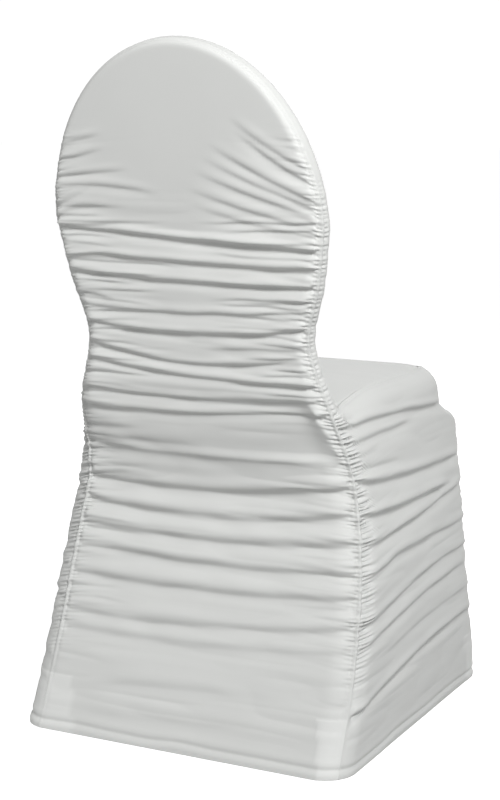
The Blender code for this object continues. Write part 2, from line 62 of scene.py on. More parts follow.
# Rear seam of the back: height, half width, distance back.
SEAM = np.array([
    (0.000, 0.2340, 0.2424),
    (0.120, 0.2322, 0.1925),
    (0.250, 0.2241, 0.1543),
    (0.380, 0.2030, 0.1418),
    (0.450, 0.1886, 0.1680),
    (0.5485, 0.1639, 0.1869),
    (0.620, 0.1824, 0.1985),
    (0.692, 0.1945, 0.2102),
])
WAIST_ROW = 5  # the row at the waist, over which the back is straight
# Rear corner: height, radius, angle of its seam round the corner, and that angle on the left.
CORNER = np.array([
    (0.000, 0.0430, 42.0, 80.0),
    (0.330, 0.0430, 42.0, 78.0),
    (0.380, 0.0430, 42.0, 64.0),
    (0.455, 0.0330, 38.0, 38.0),
    (0.510, 0.0200, 30.0, 30.0),
    (0.930, 0.0200, 30.0, 30.0),
])
# Front of the skirt and cushion: height, distance to the front, half width, corner radius.
FRONT = np.array([
    (0.000, -0.2557, 0.2385, 0.034),
    (0.200, -0.2420, 0.2277, 0.034),
    (0.385, -0.2430, 0.2090, 0.032),
    (0.420, -0.2230, 0.2050, 0.078),
    (0.474, -0.2200, 0.2024, 0.080),
])

# Creases: where they start and end across the panel (-1 left or rear, 1 right or front), the
# height in mm at the start, the middle and the end, and the depth in mm.
BACK_CREASES = np.array([
    (-0.70, 0.45, 26, 32, 42, 0.8),
    (-0.72, 0.35, 62, 73, 77, 1.0),
    (-0.92, 0.92, 132, 130, 147, 1.0),
    (-1.00, 0.96, 153, 154, 177, 2.0),
    (0.60, 1.00, 192, 196, 204, 1.0),
    (-1.00, 0.96, 204, 200, 213, 2.2),
    (-1.00, -0.50, 222, 224, 226, 1.0),
    (-1.00, 0.96, 243, 235, 244, 2.4),
    (-1.00, 0.97, 271, 266, 280, 2.4),
    (-1.00, 0.97, 306, 295, 318, 2.4),
    (-1.00, -0.55, 321, 322, 325, 1.0),
    (-1.00, 0.95, 336, 331, 352, 2.4),
    (-1.00, -0.64, 341, 343, 346, 1.2),
    (-1.00, -0.63, 372, 376, 381, 1.0),
    (-0.95, 0.96, 384, 379, 388, 1.6),
    (-1.00, -0.02, 393, 397, 394, 1.2),
    (-1.00, -0.53, 410, 413, 416, 1.4),
    (-0.95, 0.97, 440, 440, 450, 3.2),
    (-0.93, 0.94, 465, 460, 469, 3.0),
    (-0.94, 0.92, 505, 491, 489, 3.0),
    (-0.91, 0.81, 527, 509, 518, 3.0),
    (0.16, 0.91, 530, 532, 534, 1.6),
    (-0.93, 0.91, 556, 548, 559, 3.0),
    (-0.90, 0.97, 580, 575, 584, 2.0),
    (-0.96, -0.69, 596, 593, 589, 1.4),
    (0.43, 0.99, 592, 595, 599, 1.6),
    (-0.94, 0.99, 626, 616, 617, 3.0),
    (-0.98, -0.59, 643, 644, 645, 1.4),
    (-0.77, 1.00, 650, 641, 640, 3.0),
    (-0.18, 1.00, 671, 667, 662, 1.2),
    (-0.99, 0.99, 683, 672, 663, 3.0),
    (-1.00, -0.39, 684, 687, 691, 1.4),
    (-0.98, -0.44, 711, 711, 711, 1.6),
    (-1.00, -0.20, 737, 739, 729, 1.1),
    (-1.00, -0.44, 748, 754, 759, 1.8),
    (-0.98, -0.62, 769, 777, 784, 1.3),
    (-0.99, -0.66, 791, 797, 803, 1.2),
])
# Folds that fan out of the upper right of the seam: their end at the seam, then their far end,
# each as x and height in mm, and the depth.
FAN_CREASES = np.array([
    (-181, 763, -74, 829, 2.0),
    (-189, 743, -77, 815, 2.6),
    (-190, 724, -40, 796, 2.2),
    (-191, 715, -29, 779, 1.8),
    (-192, 705, -16, 761, 2.2),
    (-190, 690, 0, 740, 2.0),
    (-190, 679, -8, 718, 1.6),
])
RIGHT_CREASES = np.array([
    (-0.96, 1.00, 71, 100, 102, 3.2),
    (-0.60, 1.00, 128, 138, 140, 1.2),
    (-0.98, 0.96, 150, 171, 175, 2.4),
    (-0.98, 0.92, 177, 199, 202, 2.8),
    (-0.98, 0.24, 235, 245, 238, 2.6),
    (-0.64, 0.98, 252, 245, 238, 2.2),
    (-0.96, 1.00, 278, 282, 297, 3.0),
    (-0.98, 0.66, 317, 306, 303, 4.4),
    (-1.00, 0.98, 360, 342, 337, 3.8),
    (-0.98, -0.30, 378, 372, 370, 1.6),
    (-0.98, -0.54, 391, 392, 394, 1.8),
    (-0.98, 0.20, 410, 411, 413, 2.2),
    (-0.96, 0.80, 433, 429, 418, 3.0),
])
LEFT_CREASES = np.array([
    (-1.00, 1.00, 60, 58, 66, 1.2),
    (-1.00, 0.90, 90, 101, 110, 1.6),
    (-0.90, 1.00, 128, 140, 150, 1.4),
    (-1.00, 1.00, 168, 180, 184, 1.8),
    (-1.00, 0.80, 207, 214, 222, 2.2),
    (-1.00, 0.60, 240, 250, 255, 1.6),
    (-0.80, 1.00, 275, 285, 290, 2.2),
    (-1.00, 1.00, 318, 315, 309, 3.0),
    (-1.00, 0.90, 356, 345, 340, 2.4),
    (-0.90, 1.00, 390, 376, 370, 1.4),
    (-1.00, 1.00, 425, 414, 407, 2.6),
])
SKIRT_CREASES = np.array([
    (-1.00, 0.60, 64, 58, 62, 1.0),
    (-0.70, 1.00, 108, 102, 104, 1.6),
    (-1.00, 1.00, 150, 144, 152, 1.8),
    (-1.00, 0.80, 192, 186, 190, 2.0),
    (-1.00, 1.00, 236, 230, 238, 2.2),
    (-0.80, 1.00, 282, 274, 280, 2.2),
    (-1.00, 1.00, 318, 312, 316, 2.8),
    (-1.00, 1.00, 352, 348, 350, 2.4),
    (-1.00, 1.00, 404, 402, 406, 2.8),
])
INNER_CREASES = np.array([
    (-1.00, 1.00, 502, 498, 504, 2.2),
    (-1.00, 0.90, 526, 520, 524, 2.4),
    (-1.00, 1.00, 548, 541, 550, 2.8),
    (-0.90, 1.00, 572, 566, 570, 2.6),
    (-1.00, 1.00, 600, 594, 603, 2.6),
    (-1.00, 0.90, 630, 622, 628, 2.4),
    (-1.00, 1.00, 662, 655, 664, 2.4),
    (-1.00, 0.70, 692, 688, 690, 2.0),
    (-0.80, 1.00, 724, 722, 728, 1.8),
    (-1.00, 0.60, 760, 758, 756, 1.4),
    (-0.70, 1.00, 798, 800, 796, 1.0),
])


class Hand(Enum):
    """Which side of the cover, as the sign of X."""

    LEFT = 1
    RIGHT = -1


class End(Enum):
    """Which end of the skirt."""

    REAR = 1
    FRONT = -1


class SeamSeed(IntEnum):
    """Seed of each seam's random puckers, the same for both panels that meet in the seam. A
    seam that each hand has adds the hand's sign to it."""

    REAR = 40
    FRONT_CORNER = 60
    SIDE_TOP = 80
    SEAT_REAR = 90
    POCKET_RIM = 95


def ease(x: Array) -> Array:
    """0 to 1 with level ends: 3x^2 - 2x^3 of x held between 0 and 1."""
    x = np.clip(x, 0, 1)
    return x * x * (3 - 2 * x)


def curve(table: Array, column: int, at: Array, steady: bool = False) -> Array:
    """A smooth curve through one column of a table against its first, level past its ends.

    Between two rows it is the cubic that takes both values and both slopes, and the slope at a
    row is the mean of its two neighbours' slopes, weighed by the nearer one.

    Args:
        table: rows of a position and the values there.
        column: which value.
        at: the positions wanted.
        steady: keeps the curve between the values on either side of it.

    Returns:
        The value at each position.
    """
    x, y = table[:, 0], table[:, column]
    step = np.diff(x)
    slope = np.diff(y) / step
    between = (slope[:-1] * step[1:] + slope[1:] * step[:-1]) / (step[:-1] + step[1:])
    bend = np.concatenate([slope[:1], between, slope[-1:]])
    if steady:
        most = 2 * np.minimum(np.abs(slope[:-1]), np.abs(slope[1:]))
        bend[1:-1] = np.where(slope[:-1] * slope[1:] <= 0, 0, np.clip(bend[1:-1], -most, most))
        bend[[0, -1]] = 0
    at = np.clip(at, x[0], x[-1])
    i = np.clip(np.searchsorted(x, at) - 1, 0, len(x) - 2)
    t = (at - x[i]) / step[i]
    return (
        (2 * t**3 - 3 * t**2 + 1) * y[i]
        + (t**3 - 2 * t**2 + t) * step[i] * bend[i]
        + (3 * t**2 - 2 * t**3) * y[i + 1]
        + (t**3 - t**2) * step[i] * bend[i + 1]
    )


def graded(length: float, fine: float, coarse: float, reach: float) -> Array:
    """Stops from 0 to 1 that lie close together at both ends.

    The step grows from fine to coarse over the reach, so the stops are where the running sum of
    1 / step passes whole numbers.

    Args:
        length: real length that 0 to 1 stands for.
        fine: step at the ends.
        coarse: step in the middle.
        reach: how far in the step has grown to coarse.

    Returns:
        The stops, the same from both ends.
    """
    x = np.linspace(0, 1, 4001)
    inward = np.minimum(x, 1 - x) * length
    step = fine + (coarse - fine) * ease((inward - FINE_MARGIN) / reach)
    run = np.concatenate([[0], np.cumsum(length * np.diff(x) / (step[1:] + step[:-1]) * 2)])
    return np.interp(np.linspace(0, run[-1], int(round(run[-1])) + 1), run, x)


def denser_right(stops: Array, most: float, beyond: float = 0.42) -> Array:
    """Divides each step that is over the most, beyond a share of the way, into even parts.

    Args:
        stops: from 0 to 1.
        most: longest step that is left there.
        beyond: where the dividing starts.

    Returns:
        The stops with the new ones among them.
    """
    parts = np.where(stops[:-1] >= beyond, np.ceil(np.diff(stops) / most - 0.01), 1).astype(int)
    within = np.arange(parts.sum()) - np.repeat(np.cumsum(parts) - parts, parts)
    steps = np.repeat(np.diff(stops) / parts, parts)
    return np.append(np.repeat(stops[:-1], parts) + within * steps, 1.0)


def cells(length: float, step: float) -> int:
    """An even number of steps along a length, near the step that is wanted."""
    return 2 * round(length / step / 2)


def bell(x: Array) -> Array:
    """A bell curve: 1 where x is 0, and e to the minus x squared elsewhere."""
    return np.exp(-(x**2))


def waver(at: Array, seed: int) -> Array:
    """A smooth random curve: a random value at each whole number, eased from one to the next.

    Args:
        at: positions along the curve.
        seed: of the random values.

    Returns:
        Values between -1 and 1.
    """
    size = 512
    values = np.random.default_rng(seed).uniform(-1, 1, size)
    i = np.floor(at).astype(int)
    f = ease(at - i)
    return values[i % size] * (1 - f) + values[(i + 1) % size] * f


def mottle(p: Array, q: Array, seed: int) -> Array:
    """A smooth random surface: a random value at each whole p and q, eased between the four.

    Args:
        p: first coordinate.
        q: second coordinate.
        seed: of the random values.

    Returns:
        Values between -1 and 1.
    """
    size = 128
    values = np.random.default_rng(seed).uniform(-1, 1, (size, size))
    i, j = np.floor(p).astype(int), np.floor(q).astype(int)
    f, g = ease(p - i), ease(q - j)
    i, j = i % size, j % size
    after_i, after_j = (i + 1) % size, (j + 1) % size
    low = values[i, j] * (1 - f) + values[after_i, j] * f
    high = values[i, after_j] * (1 - f) + values[after_i, after_j] * f
    return low * (1 - g) + high * g


@dataclass(frozen=True)
class CoverForm:
    """The form that the cover is stretched to, shared by all panels so that seams meet.

    The back is a tall outline whose upper part is an ellipse, leaning back. Round its edge the
    cloth turns a corner, and the rear seam lies part of the way round it.
    """

    recline: float = 0.1626  # metres back for each metre up, over the waist
    widest: float = 0.692  # height where the ellipse begins
    crown: float = 0.9255  # and where it ends
    waist: float = 0.5485
    crown_from: float = 0.830  # over this the rows are at even turns of the ellipse
    tight_from: float = 0.60  # the back's corner grows tight from this height
    tight_over: float = 0.09  # within this much
    tight_power: int = 5
    edge_kept: float = 0.51  # under this height the backrest's own edge stays the same
    seat_rear: float = 0.4550  # height of the cushion at the rear seam
    seat_top: float = 0.4700  # and where it is full
    seat_full: float = 0.40  # share of the side that it takes to rise
    edge_radius: float = 0.030  # rounding of the cushion
    edge_start: float = 0.02  # share of it at the rear seam
    edge_full: float = 0.14  # share of the side that it takes to grow
    edge_turn: float = math.radians(84)
    seat_swell: float = 0.006

    def rise(self, z: Array) -> Array:
        """How far up the ellipse a height is: 0 at the widest and below, 1 at the crown."""
        return np.clip((z - self.widest) / (self.crown - self.widest), 0, 1)

    def crown_rows(self, turns: int, last: float) -> Array:
        """Heights over the crown, at even turns round the ellipse.

        Args:
            turns: how many.
            last: angle from the top of the last one, in degrees.

        Returns:
            The heights, upward.
        """
        start = math.acos((self.crown_from - self.widest) / (self.crown - self.widest))
        turn = np.linspace(start, math.radians(last), turns + 1)[1:]
        return self.widest + (self.crown - self.widest) * np.cos(turn)

    def seam_half(self, z: Array) -> Array:
        """Half width of the rear seam: the table up to the widest height, then an ellipse."""
        above = SEAM[-1, 1] * np.sqrt(1 - self.rise(z) ** 2)
        return np.where(z > self.widest, above, curve(SEAM, 1, z))

    def seam_back(self, z: Array) -> Array:
        """Distance back of the rear seam: the table up to the waist, then a straight slope."""
        above = SEAM[WAIST_ROW, 2] + (z - self.waist) * self.recline
        return np.where(z > self.waist, above, curve(SEAM[: WAIST_ROW + 1], 2, z))

    def corner(self, z: Array, hand: Hand = Hand.RIGHT) -> tuple[Array, Array, Array]:
        """The rear corner at a height.

        Args:
            z: height.
            hand: left or right.

        Returns:
            Its radius, the angle of the right seam round it, and that of this hand's seam.
        """
        angle = np.radians(curve(CORNER, 2, z, True))
        own = np.radians(curve(CORNER, 3, z, True)) if hand is Hand.LEFT else angle
        return curve(CORNER, 1, z, True), angle, own

    def corner_centre(self, z: Array) -> tuple[Array, Array]:
        """Middle of the rear corner's arc, in from the seam by the radius along its angle.

        Args:
            z: height.

        Returns:
            X and Y of the middle, on the positive side.
        """
        radius, angle, _ = self.corner(z)
        x, y = self.seam_half(z), self.seam_back(z)
        return x - radius * np.cos(angle), y - radius * np.sin(angle)

    def rear_seam(self, z: Array, hand: Hand) -> Array:
        """X of the rear seam on one hand: the corner's middle plus its radius at the angle."""
        radius, _, own = self.corner(z, hand)
        return hand.value * (self.corner_centre(z)[0] + radius * np.cos(own))

    def inset(self, x: Array, z: Array) -> Array:
        """Distance in from the back's outline: level below the widest height, radial above.

        Args:
            x: from the middle.
            z: height.

        Returns:
            The distances.
        """
        reach = np.hypot(self.rise(z), np.abs(x) / SEAM[-1, 1])
        length = np.hypot(x, np.clip(z - self.widest, 0, None))
        above = (1 - reach) * length / np.maximum(reach, 1e-6)
        return np.where(z > self.widest, above, self.seam_half(z) - np.abs(x))

    def back_face(self, x: Array, z: Array) -> Array:
        """Distance back of the cloth: flat, and a quarter circle down to the corner's seam. On
        the round back it falls with a power of the way to the seam instead, a tighter corner.

        Args:
            x: from the middle.
            z: height.

        Returns:
            The distances back.
        """
        radius, angle, _ = self.corner(z)
        past = np.clip(np.cos(angle) - self.inset(x, z) / radius, 0, 1)
        tight = ease((z - self.tight_from) / self.tight_over)
        fall = (1 - np.sin(angle)) * (past / np.cos(angle)) ** self.tight_power
        level = np.sqrt(1 - past**2) * (1 - tight) + (1 - fall) * tight
        return self.seam_back(z) + radius * (level - np.sin(angle))

    def cushion_radius(self, t: Array) -> Array:
        """Rounding of the cushion's edge, from nothing at the rear seam to its full size."""
        grown = self.edge_start + (1 - self.edge_start) * ease(t / self.edge_full)
        return self.edge_radius * grown

    def cushion_edge(self, t: Array) -> Array:
        """Height where the cushion's rounding begins, rising from the back to the front."""
        rise = ease(t / self.seat_full)
        return self.seat_rear + (self.seat_top - self.seat_rear) * rise - self.cushion_radius(t)

    def side_lengths(self, z: Array, hand: Hand) -> tuple[Array, Array, Array]:
        """Lengths of the three parts of a side at a height.

        Args:
            z: height.
            hand: left or right.

        Returns:
            Round the rear corner, straight, and round half of the front one.
        """
        radius, _, own = self.corner(z, hand)
        front_y, front_radius = curve(FRONT, 1, z, True), curve(FRONT, 3, z, True)
        straight = self.corner_centre(z)[1] - (front_y + front_radius)
        return radius * own, straight, front_radius * math.pi / 4

    def side_spot(self, t: Array, z: Array, lift: Array, hand: Hand) -> Array:
        """A point of the side: an arc at the rear, a straight run, and an arc at the front.

        Args:
            t: 0 at the rear seam to 1 at the front corner seam, by length of cloth.
            z: height, up to the cushion's edge.
            lift: how far over that edge, 0 to 1, as a circle of the edge's own radius.
            hand: left or right.

        Returns:
            The points, with X, Y and Z last.
        """
        t, z, lift = np.broadcast_arrays(t, z, lift)
        radius, _, own = self.corner(z, hand)
        centre_x, centre_y = self.corner_centre(z)
        front_y, front_x, front_radius = (curve(FRONT, k, z, True) for k in (1, 2, 3))
        first, second, third = self.side_lengths(z, hand)
        run = t * (first + second + third)
        turn = lift * self.edge_turn
        back_in = self.cushion_radius(t) * (1 - np.cos(turn))
        a = np.clip(own - run / radius, 0, None)
        q = np.clip((run - first) / second, 0, 1)
        b = np.clip((run - first - second) / front_radius, 0, None)
        on_rear, on_front = run < first, run > first + second
        x = np.where(
            on_rear,
            centre_x + (radius - back_in) * np.cos(a),
            centre_x + radius + (front_x - centre_x - radius) * q - back_in,
        )
        y = np.where(on_rear, centre_y + (radius - back_in) * np.sin(a), centre_y - second * q)
        x = np.where(on_front, front_x - front_radius + (front_radius - back_in) * np.cos(b), x)
        y = np.where(on_front, front_y + front_radius - (front_radius - back_in) * np.sin(b), y)
        return np.stack([hand.value * x, y, z + self.cushion_radius(t) * np.sin(turn)], -1)

    def side_top(self, t: Array, hand: Hand) -> Array:
        """The seam along the top of a side, from the rear seam to the front corner."""
        return self.side_spot(t, self.cushion_edge(t), 1.0, hand)

    def front_spot(self, u: Array, z: Array, lift: Array) -> Array:
        """A point of the skirt's front: straight, with half of each corner's arc at its ends.

        Args:
            u: -1 at the left seam to 1 at the right one, by length of cloth.
            z: height, up to the cushion's edge.
            lift: how far over that edge, 0 to 1.

        Returns:
            The points, with X, Y and Z last.
        """
        u, z, lift = np.broadcast_arrays(u, z, lift)
        front_y, front_x, front_radius = (curve(FRONT, k, z, True) for k in (1, 2, 3))
        edge = float(self.cushion_radius(1.0))
        back_in = edge * (1 - np.cos(lift * self.edge_turn))
        straight = front_x - front_radius
        run = np.abs(u) * (straight + front_radius * math.pi / 4)
        b = np.clip((run - straight) / front_radius, 0, None)
        x = np.where(run < straight, run, straight + (front_radius - back_in) * np.sin(b))
        y = front_y + front_radius - (front_radius - back_in) * np.cos(b)
        return np.stack([-np.sign(u) * x, y, z + edge * np.sin(lift * self.edge_turn)], -1)

    def backrest_edge(self, z: Array) -> tuple[Array, Array, Array]:
        """Rounding of the backrest's own edge, which stays the same down to the seat."""
        return self.corner(np.maximum(z, self.edge_kept))

    def band(self, z: Array, turns: int, hand: Hand) -> Array:
        """Points round the backrest's edge, from its seam to the flat of the sitter's side.

        Each row is an arc of the corner's radius, from the seam's angle to straight forward,
        and it moves out along the outline's own normal: level low down, radial on the ellipse.

        Args:
            z: height of the seam at each row.
            turns: steps round the arc.
            hand: left or right.

        Returns:
            Rows of points.
        """
        rise, small = self.rise(z), 1e-4
        slope = (self.seam_half(z + small) - self.seam_half(z - small)) / (2 * small)
        upper = z > self.widest
        way_x = np.where(upper, np.sqrt(1 - rise**2) / SEAM[-1, 1], 1.0)
        way_z = np.where(upper, rise / (self.crown - self.widest), -slope)
        size = np.hypot(way_x, way_z)
        radius, angle, _ = self.backrest_edge(z)
        turn = angle[:, None] - np.linspace(0, 1, turns + 1) * (angle[:, None] + math.pi / 2)
        out = radius[:, None] * (np.cos(turn) - np.cos(angle)[:, None])
        y = self.seam_back(z)[:, None] + radius[:, None] * (np.sin(turn) - np.sin(angle)[:, None])
        x = self.seam_half(z)[:, None] + (way_x / size)[:, None] * out
        return np.stack([hand.value * x, y, z[:, None] + (way_z / size)[:, None] * out], -1)


FORM = CoverForm()


@dataclass
class SeamRun:
    """One seam as a panel's points see it.

    Fields:
        along: distance along the seam beside each point, in mm.
        away: distance of each point from the seam, in mm.
        strength: how much the seam is gathered beside each point, 0 to 1.
        seed: the same for both panels that meet in the seam.
        ridge: height in mm of the ridge that the seam allowance makes under the cloth.
        tilt: how much a pucker rises for each mm that it runs into the panel.
        calm: share of the wide puckers that is left, 0 to 1. The fine ones change less.
        longer: how much further the puckers run into this panel.
        crisp: share of the fine tucks' depth that this panel has.
    """

    along: Array
    away: Array
    strength: Array
    seed: int
    ridge: Array | float = 1.6
    tilt: Array | float = 0.10
    calm: Array | float = 1.0
    longer: float = 1.0
    crisp: float = 0.75


@dataclass
class Surface:
    """A panel's form before its folds.

    Fields:
        points: rows and columns of points, from the floor, in metres.
        outward: 1 or -1, which turns the grid's normal outward.
        across: -1 to 1 across the panel.
        height: height of each point for the folds, in mm.
        seams: the seams along its edges.
        sewn: whether the first and last column and the first and last row are sewn.
        fade: 0 where no fold may show, 1 elsewhere.
        doubled: 1 where a foot pocket lies behind the cloth, 0 elsewhere.
        hemmed: whether its foot has the turned hem.
    """

    points: Array
    outward: int
    across: Array
    height: Array
    seams: list[SeamRun]
    sewn: tuple[bool, bool, bool, bool]
    fade: Array | float = 1.0
    doubled: Array | float = 0.0
    hemmed: bool = True


def run_along(points: Array, axis: int) -> Array:
    """Mean distance of each row or column from the first, which slopes are measured against."""
    steps = np.linalg.norm(np.diff(points, axis=axis), axis=-1).mean(axis=1 - axis)
    return np.concatenate([[0], np.cumsum(np.maximum(steps, 1e-6))])


def runs(points: Array, axis: int) -> Array:
    """Distance of each point from the first row or column, along its own line.

    Args:
        points: rows and columns of points, in metres.
        axis: 0 to go up the rows, 1 to go across the columns.

    Returns:
        The distances in mm.
    """
    steps = np.linalg.norm(np.diff(points, axis=axis), axis=-1)
    zero = np.zeros_like(points[:1, :, 0] if axis == 0 else points[:, :1, 0])
    return np.concatenate([zero, np.cumsum(steps, axis)], axis) * 1000


def normals_of(points: Array, outward: int) -> Array:
    """Unit normals of a grid: the cross product of its slopes along and across.

    Args:
        points: rows and columns of points.
        outward: 1 or -1, which turns them outward.

    Returns:
        A normal for each point.
    """
    along = np.gradient(points, run_along(points, 0), axis=0, edge_order=2)
    across = np.gradient(points, run_along(points, 1), axis=1, edge_order=2)
    normal = np.cross(across, along) * outward
    return normal / np.maximum(np.linalg.norm(normal, axis=-1, keepdims=True), 1e-12)


@dataclass(frozen=True)
class Drape:
    """How the cloth folds: sizes in mm."""

    steep: float = 2.8  # half width of a fold's underside
    slope: float = 7.5  # half width of the slope below it
    ridge_at: float = 7.5  # the fold hangs over from this far above its crease
    ridge_width: float = 5.0
    ridge_share: float = 0.55  # height of that ridge beside the crease's depth
    wander: float = 1.0  # how far a crease strays from its even curve
    depth_mean: float = 1.25  # a crease's depth beside that in its table
    depth_spread: float = 0.4  # and how much it varies along the crease
    fade_share: float = 0.55  # a free end fades over this share of the crease's length,
    fade_range: tuple[float, float] = (0.12, 0.35)  # held between these
    fade_lead: float = 0.25  # and this share of the fade lies past its end
    loose_below: float = 450.0  # under this height the cloth hangs free and folds more softly
    loose_over: float = 60.0  # within this much
    loose_widening: float = 1.1
    at_seam: float = 0.9  # a crease whose end is past this share of the panel reaches the seam
    fan_bow: float = 4.0  # how far down a crease of the fan bows in its middle
    fan_share: float = 0.88  # share of its depth in the table
    tuck: float = 5.7  # from one fine tuck to the next beside a gathered seam
    tuck_depth: float = 1.8
    tuck_length: float = 16.0
    tuck_lean: float = 0.06  # how much steeper than the puckers they run
    tuck_stray: float = 0.35  # share of the spacing that their places stray by
    tuck_half: float = 0.42  # half width as a share of the spacing
    tuck_from: float = 1.2  # the tucks begin this far from the seam
    seam_hold: float = 3.5  # the seam holds the puckers lower within this far of it
    puckers: tuple[tuple[float, float, float], ...] = (
        (7.5, 1.9, 16.0),
        (11.0, 1.15, 32.0),
        (22.0, 0.75, 70.0),
    )  # each: spacing along the seam, height, reach into the panel
    ridge_bells: tuple[tuple[float, float, float], ...] = (
        (0.0, 1.9, 1.0),
        (0.0, 0.7, -0.35),
        (4.2, 1.5, -0.45),
    )  # the ridge, the groove along its stitches, the low beside it: distance, half width, height
    hem_bells: tuple[tuple[float, float, float], ...] = (
        (5.0, 4.2, 1.3),
        (12.0, 2.6, -1.5),
        (19.0, 5.0, 0.7),
    )  # the band, the valley where it is sewn, the swell: height up, half width, how far out
    crumples: tuple[tuple[float, float, float], ...] = (
        (150.0, 13.0, 0.55),
        (90.0, 24.0, 0.80),
    )  # each: length across, spacing up, height
    crumpled: tuple[float, float] = (15.0, 745.0)  # lowest and highest
    doubled_lift: float = 0.5  # how far a foot pocket lifts the cloth over it
    plain_beside: float = 10.0  # the main creases fade out within this far of a seam

    def profile(self, above: Array, loose: Array | float = 0.0) -> Array:
        """A crease's cross-section, 1 deep: steep over it, gentle below, with a ridge above.

        The crease is a bell curve with a narrow upper and a wide lower side, and the ridge is
        another bell curve above it, so light from above leaves the underside dark. Where the
        cloth is loose, all of it is wider.

        Args:
            above: distance over the crease's line, in mm.
            loose: 0 to 1.

        Returns:
            The height, down to -1 in the crease.
        """
        widening = self.loose_widening * loose
        width = np.where(above > 0, self.steep * (1 + widening), self.slope * (1 + 0.5 * widening))
        ridge_at = self.ridge_at * (1 + 0.6 * widening)
        ridge = bell((above - ridge_at) / (self.ridge_width * (1 + widening)))
        return self.ridge_share * ridge - bell(above / width)

    def creases(
        self,
        across: Array,
        height: Array,
        table: Array,
        seed: int,
        slack: float = 1.0,
        finer: float = 1.0,
    ) -> Array:
        """Creases over a panel: each a parabola across it, that strays and varies in depth.

        Args:
            across: -1 to 1 across the panel.
            height: in mm.
            table: rows of from, to, three heights and a depth.
            seed: of the straying.
            slack: how loosely the panel hangs under the seat, 0 to 1.
            finer: how many times narrower they are than a main crease.

        Returns:
            How far out each point moves, in mm.
        """
        total = np.zeros(across.shape)
        loose = slack * ease((self.loose_below - height) / self.loose_over)
        for k, (start, end, low, middle, high, depth) in enumerate(table):
            q = (2 * across - start - end) / (end - start)
            path = middle + (high - low) / 2 * q + ((high + low) / 2 - middle) * q**2
            path = path + self.wander * waver(across * 4 + 31.7 * k, seed + k)
            soft = np.clip(self.fade_share * (end - start), *self.fade_range)
            begun, ended = (across - start) / soft, (end - across) / soft
            begun = ease(begun + self.fade_lead) if start > -self.at_seam else 1.0
            ended = ease(ended + self.fade_lead) if end < self.at_seam else 1.0
            stray = waver(across * 5 + 11.3 * k, seed + 97 + k)
            varied = depth * (self.depth_mean + self.depth_spread * stray)
            varied = varied * (1 + 0.5 * loose * ease(height / 120))
            total += varied * (begun * ended) * self.profile((height - path) * finer, loose)
        return total

    def offshoots(self, low: float, high: float, count: int, size: float, seed: int) -> Array:
        """Short fine creases that start at the seams, at a nearly even spacing up the panel, each
        with a random length, slant and depth.

        Args:
            low: height of the lowest in mm.
            high: height of the highest.
            count: how many to each seam.
            size: share of their full length and depth.
            seed: of the random values.

        Returns:
            Rows of a table of creases.
        """
        rows = []
        for hand in Hand:
            random = np.random.default_rng(seed + hand.value)
            at = np.linspace(low, high, count) + random.uniform(-4, 4, count)
            length, rise = size * random.uniform(0.3, 0.95, count), random.uniform(-6, 5, count)
            depth = size * random.uniform(0.5, 1.3, count)
            left = hand is Hand.LEFT
            start, end = (0 * at - 1, length - 1) if left else (1 - length, 0 * at + 1)
            first, last = (at, at + rise) if left else (at + rise, at)
            rows.append(np.stack([start, end, first, at + 0.35 * rise, last, depth], -1))
        return np.concatenate(rows)

    def fan(self, x: Array, z: Array, table: Array) -> Array:
        """Straight soft creases between two points, bowed a little down in the middle.

        Args:
            x: in mm.
            z: height in mm.
            table: rows of the two ends and a depth.

        Returns:
            How far out each point moves, in mm.
        """
        total = np.zeros(x.shape)
        for x0, z0, x1, z1, depth in table:
            size = math.hypot(x1 - x0, z1 - z0)
            way_x, way_z = (x1 - x0) / size, (z1 - z0) / size
            along = ((x - x0) * way_x + (z - z0) * way_z) / size
            above = (z - z0) * way_x - (x - x0) * way_z
            above = above + self.fan_bow * np.sin(math.pi * np.clip(along, 0, 1))
            window = ease(along / 0.1 + 0.9) * ease((1 - along) / 0.45)
            total += self.fan_share * depth * window * self.profile(above, 0.15)
        return total

    def tucks(self, seam: SeamRun) -> Array:
        """The finest tucks beside a gathered seam: rounded valleys at a nearly even spacing along
        it, each with its own depth and length. They begin just past the seam's ridge.

        Args:
            seam: the seam as the panel's points see it.

        Returns:
            How far out each point moves, in mm, 0 or less.
        """
        at = (seam.along - (seam.tilt + self.tuck_lean) * seam.away) / self.tuck
        at = at + self.tuck_stray * waver(at * 0.6, seam.seed + 61)
        which = np.floor(at)
        valley = 1 - ease(np.abs(at - which - 0.5) / self.tuck_half)
        length = seam.longer**2 * self.tuck_length * (1 + 0.375 * waver(which, seam.seed + 62))
        depth = self.tuck_depth * seam.crisp * (0.8 + 0.3 * waver(which, seam.seed + 63))
        near = 1 - ease((seam.away / length - 0.3) / 0.7)
        begun = ease((seam.away - self.tuck_from) / 1.8)
        return -depth * valley * near * begun * seam.strength

    def ruching(self, seam: SeamRun) -> Array:
        """Puckers beside a gathered seam, and the seam's own ridge.

        The finest puckers are narrow valleys where a random curve along the seam passes zero. The
        wider ones are the curve itself made positive, so they have sharp valleys and round tops.
        Each is times a bell curve of the distance from the seam. The ridge is a bell curve with a
        narrow groove along the stitching and a low one on each side.

        Args:
            seam: the seam as the panel's points see it.

        Returns:
            How far out each point moves, in mm.
        """
        total = np.zeros(seam.away.shape)
        held = 0.45 + 0.55 * ease(seam.away / self.seam_hold)
        for k, (spacing, size, reach) in enumerate(self.puckers):
            at = (seam.along - seam.tilt * seam.away) / spacing * 1.6
            curl = np.abs(waver(at, seam.seed + 17 * k))
            wave = 0.35 - 1.25 * bell(curl / 0.36) if k == 0 else 2 * curl - 0.9
            left = 0.4 + 0.6 * seam.calm if k == 0 else seam.calm
            total += size * left * wave * bell(seam.away / (reach * seam.longer))
        ridge = sum(size * bell((seam.away - at) / half) for at, half, size in self.ridge_bells)
        return total * held * seam.strength + seam.ridge * ridge

